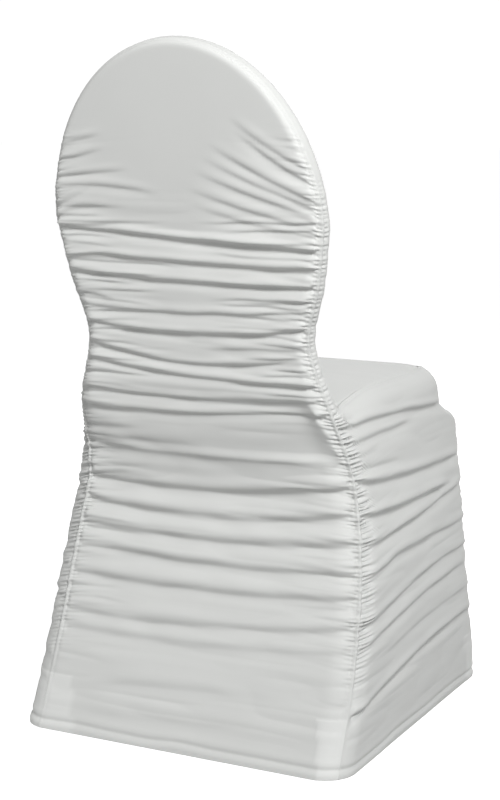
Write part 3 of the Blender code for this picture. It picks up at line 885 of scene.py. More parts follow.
    def hem(self, height: Array, along: Array, seed: int) -> Array:
        """The turned hem: a round band at the floor, a sharp valley above it where it is sewn,
        and a low swell over that, each a bell curve of the height, which strays a little.

        Args:
            height: in mm.
            along: distance along the hem, in mm.
            seed: of the straying.

        Returns:
            How far out each point moves, in mm.
        """
        up = height - 1.6 * waver(along / 55, seed)
        return sum(size * bell((up - at) / half) for at, half, size in self.hem_bells)

    def crumple(self, surface: Surface, seed: int) -> Array:
        """Faint creases everywhere: random surfaces, long across and short upward, made sharp.

        Args:
            surface: the panel's form.
            seed: of the random surfaces.

        Returns:
            How far out each point moves, in mm.
        """
        total = np.zeros(surface.across.shape)
        wide = runs(surface.points, 1)
        for k, (length, spacing, size) in enumerate(self.crumples):
            wave = np.abs(mottle(wide / length, surface.height / spacing, seed + 7 * k))
            total += size * (2 * wave - 0.6)
        return total


DRAPE = Drape()


def linear(code: str) -> tuple[float, float, float, float]:
    """A colour in the linear numbers that shaders take.

    Args:
        code: the colour as sRGB hex.

    Returns:
        Red, green, blue and 1.
    """
    parts = np.array([int(code[i : i + 2], 16) / 255 for i in (1, 3, 5)])
    parts = np.where(parts <= 0.04045, parts / 12.92, ((parts + 0.055) / 1.055) ** 2.4)
    return (*(float(p) for p in parts), 1.0)


def add_node(
    tree: bpy.types.NodeTree, kind: str, settings: dict | None = None, inputs: dict | None = None
) -> bpy.types.Node:
    """Adds a node.

    Args:
        tree: the node tree.
        kind: the node's type name.
        settings: its own settings by name.
        inputs: its inputs by name or number, each a value or a socket to link from.

    Returns:
        The node.
    """
    made = tree.nodes.new(kind)
    for name, value in (settings or {}).items():
        setattr(made, name, value)
    for name, value in (inputs or {}).items():
        if isinstance(value, bpy.types.NodeSocket):
            tree.links.new(value, made.inputs[name])
        else:
            made.inputs[name].default_value = value
    return made


def empty_material(name: str) -> tuple[bpy.types.Material, bpy.types.NodeTree]:
    """A new material whose node tree is empty.

    Args:
        name: of the material.

    Returns:
        The material and its node tree.
    """
    made = bpy.data.materials.new(name)
    made.use_nodes = True
    made.node_tree.nodes.clear()
    return made, made.node_tree


@dataclass(frozen=True)
class MilkSpandex:
    """Milk spandex: a thin weft knit of milk-fibre viscose and elastane, heat-set smooth.

    To the eye it is a matt, slightly warm white with a soft sheen at grazing angles, a very
    fine knit whose ribs run up the panel, and stitch dots beside the seams.
    """

    name: str = "milk_spandex_knit"
    white: str = "#CDCECC"
    worn: str = "#C8C9C7"
    doubled: str = "#D4D5D3"  # less light goes through two layers, so they look whiter
    roughness: float = 0.62
    sheen: float = 0.10
    # The real knit has about 14 ribs to 10 mm, which can't show here, so it is drawn at 1.4 mm.
    rib: float = 0.0014
    rib_depth: float = 0.00004
    stitch: float = 3.2  # mm from one stitch to the next
    stitch_off: float = 2.3  # mm from the seam
    stitch_share: float = 0.4  # share of that step which is dented
    tuck_depth: float = 0.0013  # sharpens the bottom of the mesh's own tucks

    def build(self) -> bpy.types.Material:
        """Makes the material.

        Returns:
            The material.
        """
        made, tree = empty_material(self.name)
        place = add_node(tree, "ShaderNodeTexCoord")
        knitted = self.knit(tree, place.outputs["Object"])
        shader = add_node(
            tree,
            "ShaderNodeBsdfPrincipled",
            inputs={
                "Base Color": self.tint(tree, place.outputs["Object"]),
                "Roughness": self.roughness,
                "IOR": 1.45,
                "Specular IOR Level": 0.14,
                "Sheen Weight": self.sheen,
                "Sheen Roughness": 0.45,
                "Normal": self.stitches(tree, self.tucked(tree, knitted)),
            },
        )
        add_node(tree, "ShaderNodeOutputMaterial", inputs={"Surface": shader.outputs[0]})
        return made

    def tint(self, tree: bpy.types.NodeTree, place: bpy.types.NodeSocket) -> bpy.types.NodeSocket:
        """The white, faintly cloudy, and lighter where a foot pocket lies behind the cloth.

        Args:
            tree: the node tree.
            place: Object coordinates.

        Returns:
            The colour.
        """
        cloudy = add_node(
            tree,
            "ShaderNodeTexNoise",
            inputs={"Vector": place, "Scale": 9.0, "Detail": 3.0, "Roughness": 0.55},
        )
        behind = add_node(tree, "ShaderNodeAttribute", {"attribute_name": "doubled"})
        colour = linear(self.white)
        for share, other in (
            (cloudy.outputs[0], self.worn),
            (behind.outputs["Fac"], self.doubled),
        ):
            mixed = add_node(
                tree,
                "ShaderNodeMix",
                {"data_type": "RGBA"},
                {0: share, 6: colour, 7: linear(other)},
            )
            colour = mixed.outputs[2]
        return colour

    def knit(self, tree: bpy.types.NodeTree, place: bpy.types.NodeSocket) -> bpy.types.NodeSocket:
        """The knit's ribs up the panel, a wave along the cloth's own width, with a fine noise.

        Args:
            tree: the node tree.
            place: Object coordinates.

        Returns:
            The normal with the knit.
        """
        cloth = add_node(tree, "ShaderNodeUVMap", {"uv_map": "cloth"})
        scale = 0.314 / self.rib  # at a scale of 1 the texture has a band every 0.314 m
        rib = add_node(
            tree,
            "ShaderNodeTexWave",
            {"wave_type": "BANDS", "bands_direction": "X"},
            {"Vector": cloth.outputs[0], "Scale": scale, "Distortion": 0.6, "Detail": 1.0},
        )
        slub = add_node(
            tree,
            "ShaderNodeTexNoise",
            inputs={"Vector": place, "Scale": 420.0, "Detail": 2.0, "Roughness": 0.6},
        )
        both = {0: rib.outputs[0], 1: slub.outputs[0]}
        height = add_node(tree, "ShaderNodeMath", {"operation": "ADD"}, both)
        knitted = add_node(
            tree,
            "ShaderNodeBump",
            inputs={"Strength": 0.35, "Distance": self.rib_depth, "Height": height.outputs[0]},
        )
        return knitted.outputs[0]

    def tucked(
        self, tree: bpy.types.NodeTree, under: bpy.types.NodeSocket
    ) -> bpy.types.NodeSocket:
        """Sharper bottoms for the tucks that the mesh has.

        Args:
            tree: the node tree.
            under: the normal that they are pressed into.

        Returns:
            The normal with the tucks.
        """
        tuck = add_node(tree, "ShaderNodeAttribute", {"attribute_name": "tuck"})
        pressed = add_node(
            tree,
            "ShaderNodeBump",
            {"invert": True},
            {
                "Strength": 0.9,
                "Distance": self.tuck_depth,
                "Height": tuck.outputs["Fac"],
                "Normal": under,
            },
        )
        return pressed.outputs[0]

    def stitches(
        self, tree: bpy.types.NodeTree, under: bpy.types.NodeSocket
    ) -> bpy.types.NodeSocket:
        """Small dents in a row beside each seam: where the distance from the seam is near one
        value, and the distance along it is in the first part of each stitch.

        Args:
            tree: the node tree.
            under: the normal that they are pressed into.

        Returns:
            The normal with the dents.
        """
        away = add_node(tree, "ShaderNodeAttribute", {"attribute_name": "seam_away"})
        along = add_node(tree, "ShaderNodeAttribute", {"attribute_name": "seam_along"})
        near = add_node(
            tree,
            "ShaderNodeMath",
            {"operation": "COMPARE"},
            {0: away.outputs["Fac"], 1: self.stitch_off, 2: 0.45},
        )
        beat = add_node(
            tree,
            "ShaderNodeMath",
            {"operation": "MODULO"},
            {0: along.outputs["Fac"], 1: self.stitch},
        )
        on = add_node(
            tree,
            "ShaderNodeMath",
            {"operation": "LESS_THAN"},
            {0: beat.outputs[0], 1: self.stitch * self.stitch_share},
        )
        dent = add_node(
            tree,
            "ShaderNodeMath",
            {"operation": "MULTIPLY"},
            {0: near.outputs[0], 1: on.outputs[0]},
        )
        pressed = add_node(
            tree,
            "ShaderNodeBump",
            {"invert": True},
            {"Strength": 0.6, "Distance": 0.0006, "Height": dent.outputs[0], "Normal": under},
        )
        return pressed.outputs[0]


@dataclass(frozen=True)
class FloorPaper:
    """Matt white paper under and behind the cover, which gives an even, bright ground."""

    name: str = "matt_floor_paper"
    white: str = "#F4F4F4"
    roughness: float = 0.9
    glow: float = 0.72  # the ground of the view is burnt out to white

    def build(self) -> bpy.types.Material:
        """Makes the material.

        Returns:
            The material.
        """
        made, tree = empty_material(self.name)
        shader = add_node(
            tree,
            "ShaderNodeBsdfPrincipled",
            inputs={
                "Base Color": linear(self.white),
                "Roughness": self.roughness,
                "Emission Color": linear(self.white),
                "Emission Strength": self.glow,
            },
        )
        add_node(tree, "ShaderNodeOutputMaterial", inputs={"Surface": shader.outputs[0]})
        return made


def write_values(mesh: bpy.types.Mesh, name: str, values: Array) -> None:
    """Keeps a number for each vertex of a mesh, as an attribute that the finish reads."""
    attribute = mesh.attributes.new(name, "FLOAT", "POINT")
    attribute.data.foreach_set("value", values.astype(np.float32))


def two_skins(rows: int, columns: int, closed_top: bool) -> Array:
    """Triangles of a closed sheet from two grids of points, the outer then the inner.

    Each square of the outer skin becomes two triangles. The inner skin is turned round and uses
    every second row, apart from its edges, where three triangles join the two spacings. Strips
    join the skins along all edges, or all but the last row where the sheet closes on itself.

    Args:
        rows: how many, an odd number.
        columns: how many.
        closed_top: whether the last row is folded onto itself.

    Returns:
        Rows of three point numbers.
    """
    index = np.arange(rows * columns).reshape(rows, columns)
    a, b, c, d = index[:-1, :-1], index[:-1, 1:], index[1:, 1:], index[1:, :-1]
    squares = [np.stack([a, b, c, d], -1).reshape(-1, 4)]
    under = index + rows * columns
    low, high = under[:-2:2, 1:-1], under[2::2, 1:-1]
    turned_round = [high[:, :-1], high[:, 1:], low[:, 1:], low[:, :-1]]
    squares.append(np.stack(turned_round, -1).reshape(-1, 4))
    thirds = []
    for edge, beside, turned in ((0, 1, False), (-1, -2, True)):
        foot, middle, head = under[:-2:2, edge], under[1:-1:2, edge], under[2::2, edge]
        near_foot, near_head = under[:-2:2, beside], under[2::2, beside]
        three = [
            (near_foot, foot, middle),
            (middle, head, near_head),
            (middle, near_head, near_foot),
        ]
        thirds += [np.stack(corners[::-1] if turned else corners, -1) for corners in three]
    rims = [index[0], index[::-1, 0], index[:, -1]]
    if not closed_top:
        rims.append(index[-1, ::-1])
    for rim in rims:
        inner = rim + rows * columns
        squares.append(np.stack([rim[1:], rim[:-1], inner[:-1], inner[1:]], -1))
    whole = np.concatenate(squares)
    return np.concatenate([whole[:, [0, 1, 2]], whole[:, [0, 2, 3]], *thirds])


@dataclass
class ClothPanel:
    """One panel of cloth: its form, folds and finish, and the CAD node that it replaces.

    Fields:
        name: of the piece.
        node: the CAD node that it stands for.
        seed: of its small folds.
        flat: width and length that it was cut to, in metres; not used.
        cut_area: flat area of the cut; not used.
        creases: table of its main creases.
        thickness: of the sheet.
        width: that the columns are spread over.
        fine: step between columns beside a seam.
        coarse: and in the middle.
        reach: how far from a seam the step has grown.
        rise: step between rows.
        slack: how loosely it hangs under the seat, 0 to 1.
        slot: name of a material slot; not used.
        closed_top: whether its last row is folded onto itself.
    """

    name: str
    node: str
    seed: int
    flat: tuple[float, float]
    cut_area: float
    creases: Array = field(default_factory=lambda: np.zeros((0, 6)))
    thickness: float = 0.0009
    width: float = 0.40
    fine: float = 0.0011
    coarse: float = 0.0098
    reach: float = 0.045
    rise: float = 0.00125
    slack: float = 1.0
    slot: str = "cover_cloth"
    closed_top: bool = False

    def surface(self) -> Surface:
        """The panel's form before its folds."""
        raise NotImplementedError

    def stops(self) -> Array:
        """Places of the columns across the panel, 0 to 1, close together beside the seams."""
        return graded(self.width, self.fine, self.coarse, self.reach)

    def patch(self, height: Array, inside: Array) -> Array:
        """Where a foot pocket shows: up to its height and inside a line, with edges 2 mm soft."""
        return ease((POCKET_TOP - height) / 2) * ease(inside / 2)

    def relief(self, surface: Surface) -> Array:
        """How far out the folds, puckers and seams lift each point, in mm.

        The creases fade out beside each seam, where the seam's puckers take over, and the
        crumples fade out at the hem and toward the smooth crown.

        Args:
            surface: the panel's form.

        Returns:
            The lift of each point.
        """
        height = surface.height
        inner = np.ones(surface.across.shape) * surface.fade
        for seam in surface.seams:
            inner = inner * ease((seam.away - 1) / DRAPE.plain_beside)
        folds = DRAPE.creases(surface.across, height, self.creases, self.seed, self.slack)
        lowest, highest = DRAPE.crumpled
        small = ease((height - lowest) / 30) * ease((highest - height) / 70)
        folds = folds + DRAPE.crumple(surface, self.seed + 500) * small
        total = folds * inner + DRAPE.doubled_lift * surface.doubled
        for seam in surface.seams:
            total = total + DRAPE.ruching(seam) + DRAPE.tucks(seam)
        if surface.hemmed:
            total = total + DRAPE.hem(height, runs(surface.points, 1), self.seed + 7)
        return total

    def sheet_points(self, surface: Surface) -> tuple[Array, Array]:
        """Outer and inner skin: the form moved out along its normals by the relief, then in
        by the cloth's thickness along the normals of what that gives. A sewn edge keeps the
        form's own normals, so that it is square to its seam, and a closed top is folded onto
        its middle line, with the points beside its tip joined.

        Args:
            surface: the panel's form.

        Returns:
            Rows and columns of points for each skin.
        """
        plain = normals_of(surface.points, surface.outward)
        outer = surface.points + plain * (self.relief(surface) / 1000)[..., None]
        normal = normals_of(outer, surface.outward)
        edges = ((slice(None), 0), (slice(None), -1), (0,), (-1,))
        for sewn, edge in zip(surface.sewn, edges):
            if sewn:
                normal[edge] = plain[edge]
        inner = outer - normal * self.thickness
        for skin in (outer, inner):
            skin[..., 2] = np.maximum(skin[..., 2], 0)
            if self.closed_top:
                middle = (skin[-1] + skin[-1, ::-1]) / 2
                middle[:, 0] = 0
                tip = middle[len(middle) // 2].copy()
                middle[np.linalg.norm(middle - tip, axis=1) < 3e-4] = tip
                skin[-1] = middle
        return outer, inner

    def build(self, cloth: bpy.types.Material) -> bpy.types.Object:
        """Makes the piece, logs its name and triangle count, and hides the CAD node that it
        replaces. Points that fall together become one, triangles that have shrunk to a line
        are left out, and where the volume that the triangles hold is negative, all of them are
        turned round.

        Args:
            cloth: its finish.

        Returns:
            The piece.
        """
        surface = self.surface()
        outer, inner = self.sheet_points(surface)
        rows, columns = outer.shape[:2]
        points = np.concatenate([outer.reshape(-1, 3), inner.reshape(-1, 3)]) - HOLD
        faces = two_skins(rows, columns, self.closed_top)
        rounded = np.round(points, 6)
        _, first, same = np.unique(rounded, axis=0, return_index=True, return_inverse=True)
        faces = same.reshape(-1)[faces]
        whole = (faces != np.roll(faces, 1, axis=1)).all(1)
        faces, kept = faces[whole], points[first]
        a, b, c = (kept[faces[:, k]] for k in range(3))
        if (a * np.cross(b, c)).sum() < 0:
            faces = faces[:, ::-1]
        made = self.mesh_object(kept, faces, cloth)
        self.mark(made.data, surface, first)
        self.sharpen_rims(made.data, surface, first)
        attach(made, "root")
        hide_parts(self.node)
        log.info("%s: %d triangles", self.name, len(faces))
        return made

    def mesh_object(
        self, points: Array, faces: Array, cloth: bpy.types.Material
    ) -> bpy.types.Object:
        """Puts points and triangles into a new smooth mesh, at the origin.

        Args:
            points: rows of three coordinates.
            faces: rows of three point numbers.
            cloth: its finish.

        Returns:
            The object.
        """
        mesh = bpy.data.meshes.new(self.name)
        mesh.vertices.add(len(points))
        mesh.vertices.foreach_set("co", points.astype(np.float32).ravel())
        mesh.loops.add(faces.size)
        mesh.loops.foreach_set("vertex_index", faces.astype(np.int32).ravel())
        mesh.polygons.add(len(faces))
        mesh.polygons.foreach_set("loop_start", np.arange(0, faces.size, 3, dtype=np.int32))
        mesh.polygons.foreach_set("use_smooth", np.ones(len(faces), bool))
        mesh.update(calc_edges=True)
        mesh.validate()
        mesh.materials.append(cloth)
        made = bpy.data.objects.new(self.name, mesh)
        bpy.context.scene.collection.objects.link(made)
        return made

    def mark(self, mesh: bpy.types.Mesh, surface: Surface, first: Array) -> None:
        """Writes where each point is on the cloth, for the finish: its place in metres as UVs,
        its distance from and along the nearest seam in mm, and where it is doubled or tucked.

        Args:
            mesh: the panel's mesh.
            surface: the form it was made from.
            first: which of the two skins' points each vertex is.
        """
        rows, columns = surface.points.shape[:2]
        spot = first % (rows * columns)
        wide, tall = runs(surface.points, 1) / 1000, runs(surface.points, 0) / 1000
        place = np.stack([wide.ravel()[spot], tall.ravel()[spot]], -1)
        corner = np.empty(len(mesh.loops), np.int32)
        mesh.loops.foreach_get("vertex_index", corner)
        layer = mesh.uv_layers.new(name="cloth")
        layer.data.foreach_set("uv", place[corner].astype(np.float32).ravel())
        zero = 0 * surface.across
        away = np.stack([seam.away + zero for seam in surface.seams])
        along = np.stack([seam.along + zero for seam in surface.seams])
        nearest = away.argmin(0)[None]
        values = {
            "seam_away": np.take_along_axis(away, nearest, 0)[0],
            "seam_along": np.take_along_axis(along, nearest, 0)[0],
            "doubled": surface.doubled + zero,
            "tuck": sum(DRAPE.tucks(seam) for seam in surface.seams) / -DRAPE.tuck_depth + zero,
        }
        for name, value in values.items():
            write_values(mesh, name, value.ravel()[spot])

    def sharpen_rims(self, mesh: bpy.types.Mesh, surface: Surface, first: Array) -> None:
        """Keeps the edges sharp that run round the rim of either skin.

        Args:
            mesh: the panel's mesh.
            surface: the form it was made from.
            first: which of the two skins' points each vertex is.
        """
        rows, columns = surface.points.shape[:2]
        skin, spot = first // (rows * columns), first % (rows * columns)
        row, column = spot // columns, spot % columns
        border = (row == 0) | (row == rows - 1) | (column == 0) | (column == columns - 1)
        ends = np.empty(len(mesh.edges) * 2, np.int32)
        mesh.edges.foreach_get("vertices", ends)
        ends = ends.reshape(-1, 2)
        sharp = border[ends].all(1) & (skin[ends[:, 0]] == skin[ends[:, 1]])
        attribute = mesh.attributes.new("sharp_edge", "BOOLEAN", "EDGE")
        attribute.data.foreach_set("value", sharp)


@dataclass(frozen=True)
class RearGather:
    """How the rear seams are gathered, by height in mm."""

    plain_below: float = 70.0  # the lower skirt isn't gathered
    grown_over: float = 110.0
    top_left: float = 830.0  # over this the round back isn't gathered
    top_right: float = 768.0
    top_fade: float = 60.0
    seat_at: float = 385.0  # where the seat meets the seam
    seat_extra: float = 0.45  # more gathered there, as a bell curve
    seat_spread: float = 95.0
    held_left: float = 0.5  # share of the wide puckers that is gone beside the backrest
    held_right: float = 0.7

    def share(self, height: Array, hand: Hand) -> Array:
        """How much a rear seam is gathered: full between the lower skirt and the middle of the
        round back, more beside the seat, and none over the top or at the hem.

        Args:
            height: in mm.
            hand: left or right.

        Returns:
            0 where it is plain, 1 where it is full, and more beside the seat.
        """
        top = self.top_left if hand is Hand.LEFT else self.top_right
        low = ease((height - self.plain_below) / self.grown_over)
        seat = 1 + self.seat_extra * bell((height - self.seat_at) / self.seat_spread)
        return low * ease((top - height) / self.top_fade) * seat

    def calm(self, height: Array, hand: Hand) -> Array:
        """Share of the wide puckers that is left at the seam itself: small beside the backrest,
        where the seam is held straight."""
        held = self.held_right if hand is Hand.RIGHT else self.held_left
        return 1 - held * ease((height - self.seat_at) / 30)

    def ridge(self, height: Array) -> Array:
        """Height in mm of the ridge over the seam's allowance: lower round the crown, where the
        cloth is stretched flat over it, and near the hem, where it is pressed."""
        return 0.4 + 1.2 * ease((height - 30) / 130) - 0.9 * ease((height - 690) / 90)


GATHER = RearGather()


@dataclass
class BackPanel(ClothPanel):
    """The back, in one length from the hem to the crown, between the two rear seams."""

    fan: Array = field(default_factory=lambda: FAN_CREASES)
    hollow_depth: float = 15.0
    span_mm: float = 8.0  # how far the cloth stands off the bend under the seat
    span_at: float = 396.0
    crown_turns: int = 88
    widest_step: float = 0.0125
    tilt: float = 0.10  # how much the puckers rise for each mm inward
    fan_tilt: float = 0.45  # and how much more at the fan of creases
    fan_from: float = 650.0
    held_at: tuple[float, float] = (380.0, 535.0)  # low part of the backrest, held flat
    held_strip: float = 70.0  # this far in it has few wide puckers
    held_calm: float = 0.85  # share of them that is gone
    crisp_left: float = 0.5
    crisp_right: float = 0.75
    offshoots: tuple[tuple[float, float, int, float], ...] = (
        (170, 372, 12, 0.6),
        (436, 700, 22, 1.0),
    )  # each: lowest and highest in mm, how many to a seam, size
    offshoots_finer: float = 1.8

    def surface(self) -> Surface:
        """Rows of one height each, whose ends lie on the rear seams. Over the crown the heights
        are those of even turns round the ellipse.

        Returns:
            The form.
        """
        u = denser_right(self.stops(), self.widest_step) * 2 - 1
        low = np.linspace(0, FORM.crown_from, cells(FORM.crown_from, self.rise) + 1)
        high = FORM.crown_rows(self.crown_turns, 0.6)
        z = np.concatenate([low, high])[:, None] + 0 * u
        left, right = FORM.rear_seam(z, Hand.LEFT), FORM.rear_seam(z, Hand.RIGHT)
        x = left + (right - left) * (u + 1) / 2
        points = np.stack([x, FORM.back_face(x, z), z], -1)
        height = z * 1000
        hollow = self.hollow(x * 1000, height)[1]
        seams = [self.seam(x, z, hollow, hand) for hand in (Hand.LEFT, Hand.RIGHT)]
        sewn = (True, True, False, True)
        doubled = self.doubled(x * 1000, height)
        return Surface(points, 1, u + 0 * z, height, seams, sewn, 1 - 0.75 * hollow, doubled)

    def seam(self, x: Array, z: Array, hollow: Array, hand: Hand) -> SeamRun:
        """One rear seam. Its wide puckers come back within 14 mm of it, apart from the hollow
        and, on the right, from a strip up the low part of the backrest that is held flat. The
        right one's puckers rise inward round the top.

        Args:
            x: of each point.
            z: height of each point.
            hollow: 1 in the hollow under the backrest.
            hand: left or right.

        Returns:
            The seam as the panel's points see it.
        """
        height, away = z * 1000, self.away(x, z, hand)
        calm = GATHER.calm(height, hand)
        calm = (calm + (1 - calm) * ease(away / 14)) * (1 - hollow)
        tilt, crisp = self.tilt, self.crisp_left
        if hand is Hand.RIGHT:
            low, high = self.held_at
            held = ease((height - low) / 20) * ease((high - height) / 40)
            strip = ease(away / 6) * ease((self.held_strip - away) / 30)
            calm = calm * (1 - self.held_calm * held * strip)
            tilt = self.tilt + self.fan_tilt * ease((height - self.fan_from) / 120)
            crisp = self.crisp_right
        return SeamRun(
            height,
            away,
            GATHER.share(height, hand),
            SeamSeed.REAR + hand.value,
            GATHER.ridge(height),
            tilt=tilt,
            calm=calm,
            crisp=crisp,
        )

    def doubled(self, x: Array, height: Array) -> Array:
        """Where the rear foot pockets show: outside a slanting line on each hand."""
        left = self.patch(height, x - 156 - 0.26 * height)
        return left + self.patch(height, -x - 210 + 0.19 * height)

    def hollow(self, x: Array, height: Array) -> tuple[Array, Array]:
        """The smooth hollow under the backrest, beside a slanting line: from that line toward
        the middle the cloth sinks steeply and comes back slowly.

        Args:
            x: in mm.
            height: in mm.

        Returns:
            How far out each point moves in mm, and 1 where the hollow is.
        """
        levels, edge = (385, 410, 434, 452, 467, 493), (-198, -188, -180, -173, -167, -151)
        beside = np.clip(x - np.interp(height, levels, edge), 0, None)
        tall = ease((height - 384) / 16) * ease((484 - height) / 30)
        sunk = (1 - np.exp(-((beside / 19) ** 1.3))) * np.exp(-beside / 110)
        return -self.hollow_depth * sunk * tall, tall * ease(beside / 5) * np.exp(-beside / 160)

    def away(self, x: Array, z: Array, hand: Hand) -> Array:
        """Distance of a point from one rear seam: the arc round the corner, then the straight
        part. Over the crown both seams are as near as the outline.

        Args:
            x: of each point.
            z: height of each point.
            hand: left or right.

        Returns:
            The distances in mm.
        """
        radius, angle, own = FORM.corner(z, hand)
        inset = FORM.inset(x, z)
        across = np.where(x * hand.value >= 0, inset, 2 * FORM.seam_half(z) - inset)
        inset = np.where(z > FORM.widest, inset, across)
        level = np.clip(np.cos(angle) - inset / radius, 0, 1)
        arc = radius * (np.arccos(level) - own)
        straight = np.clip(inset - radius * np.cos(angle), 0, None)
        return np.clip(arc + straight, 0, None) * 1000

    def relief(self, surface: Surface) -> Array:
        """The panel's folds, with the fan of creases that runs out of its upper right, the short
        creases that start at both seams, the hollow under the backrest, and the cloth spanning
        the bend under the seat: a bell curve of the height, none at the seams.

        Args:
            surface: the panel's form.

        Returns:
            The lift of each point, in mm.
        """
        x, z = surface.points[..., 0] * 1000, surface.points[..., 2] * 1000
        left, right = (seam.away for seam in surface.seams)
        nearer = np.minimum(left, right)
        rows = [
            DRAPE.offshoots(*group, self.seed + 900 + 10 * k)
            for k, group in enumerate(self.offshoots)
        ]
        short = DRAPE.creases(
            surface.across, z, np.concatenate(rows), self.seed + 920, 0.0, self.offshoots_finer
        )
        span = self.span_mm * ease(nearer / 70) * bell((z - self.span_at) / 46)
        total = super().relief(surface) + short * ease((nearer - 4) / 8) * surface.fade
        return total + DRAPE.fan(x, z, self.fan) * ease(right / 8) + self.hollow(x, z)[0] + span


@dataclass
class SidePanel(ClothPanel):
    """A side of the skirt and cushion, from the rear seam round to the front corner seam."""

    width: float = 0.41
    length: float = 0.45
    hand: Hand = Hand.RIGHT
    over_edge: int = 22
    longer: float = 1.35
    tilt_left: float = -0.35
    front_gather: float = 0.55  # share of a rear seam's gather
    ridge: float = 1.6

    def surface(self) -> Surface:
        """Rows that rise evenly from the hem to the cushion's edge, then turn over that edge.

        Returns:
            The form.
        """
        t = self.stops()
        edge = FORM.cushion_edge(t)
        share = np.linspace(0, 1, cells(self.length, self.rise) + 1)[:, None]
        lift = np.concatenate([0 * share, np.linspace(0, 1, self.over_edge + 1)[1:, None]])
        z = np.concatenate([share * edge, np.broadcast_to(edge, (self.over_edge, len(t)))])
        points = FORM.side_spot(t[None], z, lift, self.hand)
        height = (z + lift * FORM.edge_turn * FORM.edge_radius) * 1000
        total = sum(FORM.side_lengths(z, self.hand)) * 1000
        behind, ahead = t * total, (1 - t) * total
        fade = 1 - 0.55 * ease(1 - (ahead - 15) / 50)
        pocket = self.patch(height, 50 - ahead)
        if self.hand is Hand.LEFT:
            fade = fade * (1 - 0.6 * ease(1 - (behind - 25) / 60))
            pocket = pocket + self.patch(height, 30 - behind)
        across = t * 2 - 1 + 0 * z
        seams = self.seams(t, z, height, behind, ahead, points)
        sewn = (True, True, False, True)
        return Surface(points, -self.hand.value, across, height, seams, sewn, fade, pocket)

    def seams(
        self, t: Array, z: Array, height: Array, behind: Array, ahead: Array, points: Array
    ) -> list[SeamRun]:
        """The rear seam, the front corner seam and the seam along the top. The ridges of the
        last two fade where they meet.

        Args:
            t: 0 at the rear seam to 1 at the front corner seam.
            z: height up to the cushion's edge.
            height: of each point in mm, by length of cloth.
            behind: distance from the rear seam in mm.
            ahead: distance from the front corner seam in mm.
            points: of the form.

        Returns:
            The three seams as the panel's points see them.
        """
        tall, low = runs(points, 0), z * 1000
        grown = 0.5 + 1.1 * ease((t - 0.05) / 0.06)
        return [
            SeamRun(
                low,
                behind,
                GATHER.share(low, self.hand),
                SeamSeed.REAR + self.hand.value,
                GATHER.ridge(low),
                tilt=0.10 if self.hand is Hand.RIGHT else self.tilt_left,
                calm=GATHER.calm(low, self.hand),
                longer=self.longer,
                crisp=1.0,
            ),
            SeamRun(
                height,
                ahead,
                self.front_gather * GATHER.share(height, Hand.LEFT),
                SeamSeed.FRONT_CORNER + self.hand.value,
                self.ridge * ease((height[-1, -1] - height) / 8),
            ),
            SeamRun(behind, tall[-1:] - tall, 0 * z, SeamSeed.SIDE_TOP, grown * ease(ahead / 8)),
        ]


@dataclass
class InnerBack(ClothPanel):
    """The sitter's side of the backrest, with the band round the backrest's edge."""

    width: float = 0.36
    length: float = 0.375
    fine: float = 0.0035
    reach: float = 0.06
    turns: int = 22
    crown_turns: int = 88
    closed_top: bool = True
    foot_share: float = 0.066  # share of a side's top seam that the band's foot takes
    foot_settles: float = 0.045

    def surface(self) -> Surface:
        """A band of arcs on each hand, a flat face between them, and a foot that follows the
        top seams of the sides and crosses the seat.

        Returns:
            The form.
        """
        low = np.linspace(FORM.seat_rear, FORM.crown_from, cells(self.length, self.rise) + 1)
        z = np.concatenate([low, FORM.crown_rows(self.crown_turns, 0)])
        left = FORM.band(z, self.turns, Hand.LEFT)
        right = FORM.band(z, self.turns, Hand.RIGHT)[:, ::-1]
        share = self.stops()
        face_z = left[:, -1:, 2] + 0 * share
        face_x = left[:, -1:, 0] * (1 - share) + right[:, :1, 0] * share
        radius, angle, _ = FORM.backrest_edge(face_z)
        face_y = FORM.seam_back(face_z) - radius * (1 + np.sin(angle))
        face_y = face_y + left[:, -1:, 1] - face_y[:, :1]
        face = np.stack([face_x, face_y, face_z], -1)
        points = np.concatenate([left[:, :-1], face, right[:, 1:]], axis=1)
        points = self.settle_foot(points)
        on_bands = np.ones(self.turns)
        across = np.concatenate([-on_bands, share * 2 - 1, on_bands]) + 0 * points[..., 0]
        height = z[:, None] * 1000 + 0 * across
        wide, tall = runs(points, 1), runs(points, 0)
        seams = [
            SeamRun(
                height,
                away,
                GATHER.share(height, hand),
                SeamSeed.REAR + hand.value,
                GATHER.ridge(height),
                calm=GATHER.calm(height, hand) * (1 - 0.6 * ease(away / 10)),
            )
            for hand, away in ((Hand.LEFT, wide), (Hand.RIGHT, wide[:, -1:] - wide))
        ]
        seams.append(SeamRun(wide, tall, 0 * tall, SeamSeed.SEAT_REAR, 0.5))
        sewn = (True, True, True, False)
        aside = np.minimum(wide, wide[:, -1:] - wide)
        fade = 0.2 + 0.8 * ease((aside - 18) / 22)
        return Surface(points, -1, across, height, seams, sewn, fade, hemmed=False)

    def settle_foot(self, points: Array) -> Array:
        """Moves the lowest rows so that the first follows the foot: along the side's top seam
        on each hand, then straight across. The move eases out upward.

        Args:
            points: rows and columns of points.

        Returns:
            The moved points.
        """
        band, columns = self.turns, points.shape[1]
        edge = np.linspace(0, self.foot_share, band)
        foot = points[0].copy()
        foot[:band] = FORM.side_top(edge, Hand.LEFT)
        foot[columns - band :] = FORM.side_top(edge, Hand.RIGHT)[::-1]
        foot[band : columns - band, 1:] = foot[band - 1, 1:]
        settle = ease(1 - (points[..., 2:3] - FORM.seat_rear) / self.foot_settles)
        settle[0] = 1
        return points + settle * (foot - points[0])[None]


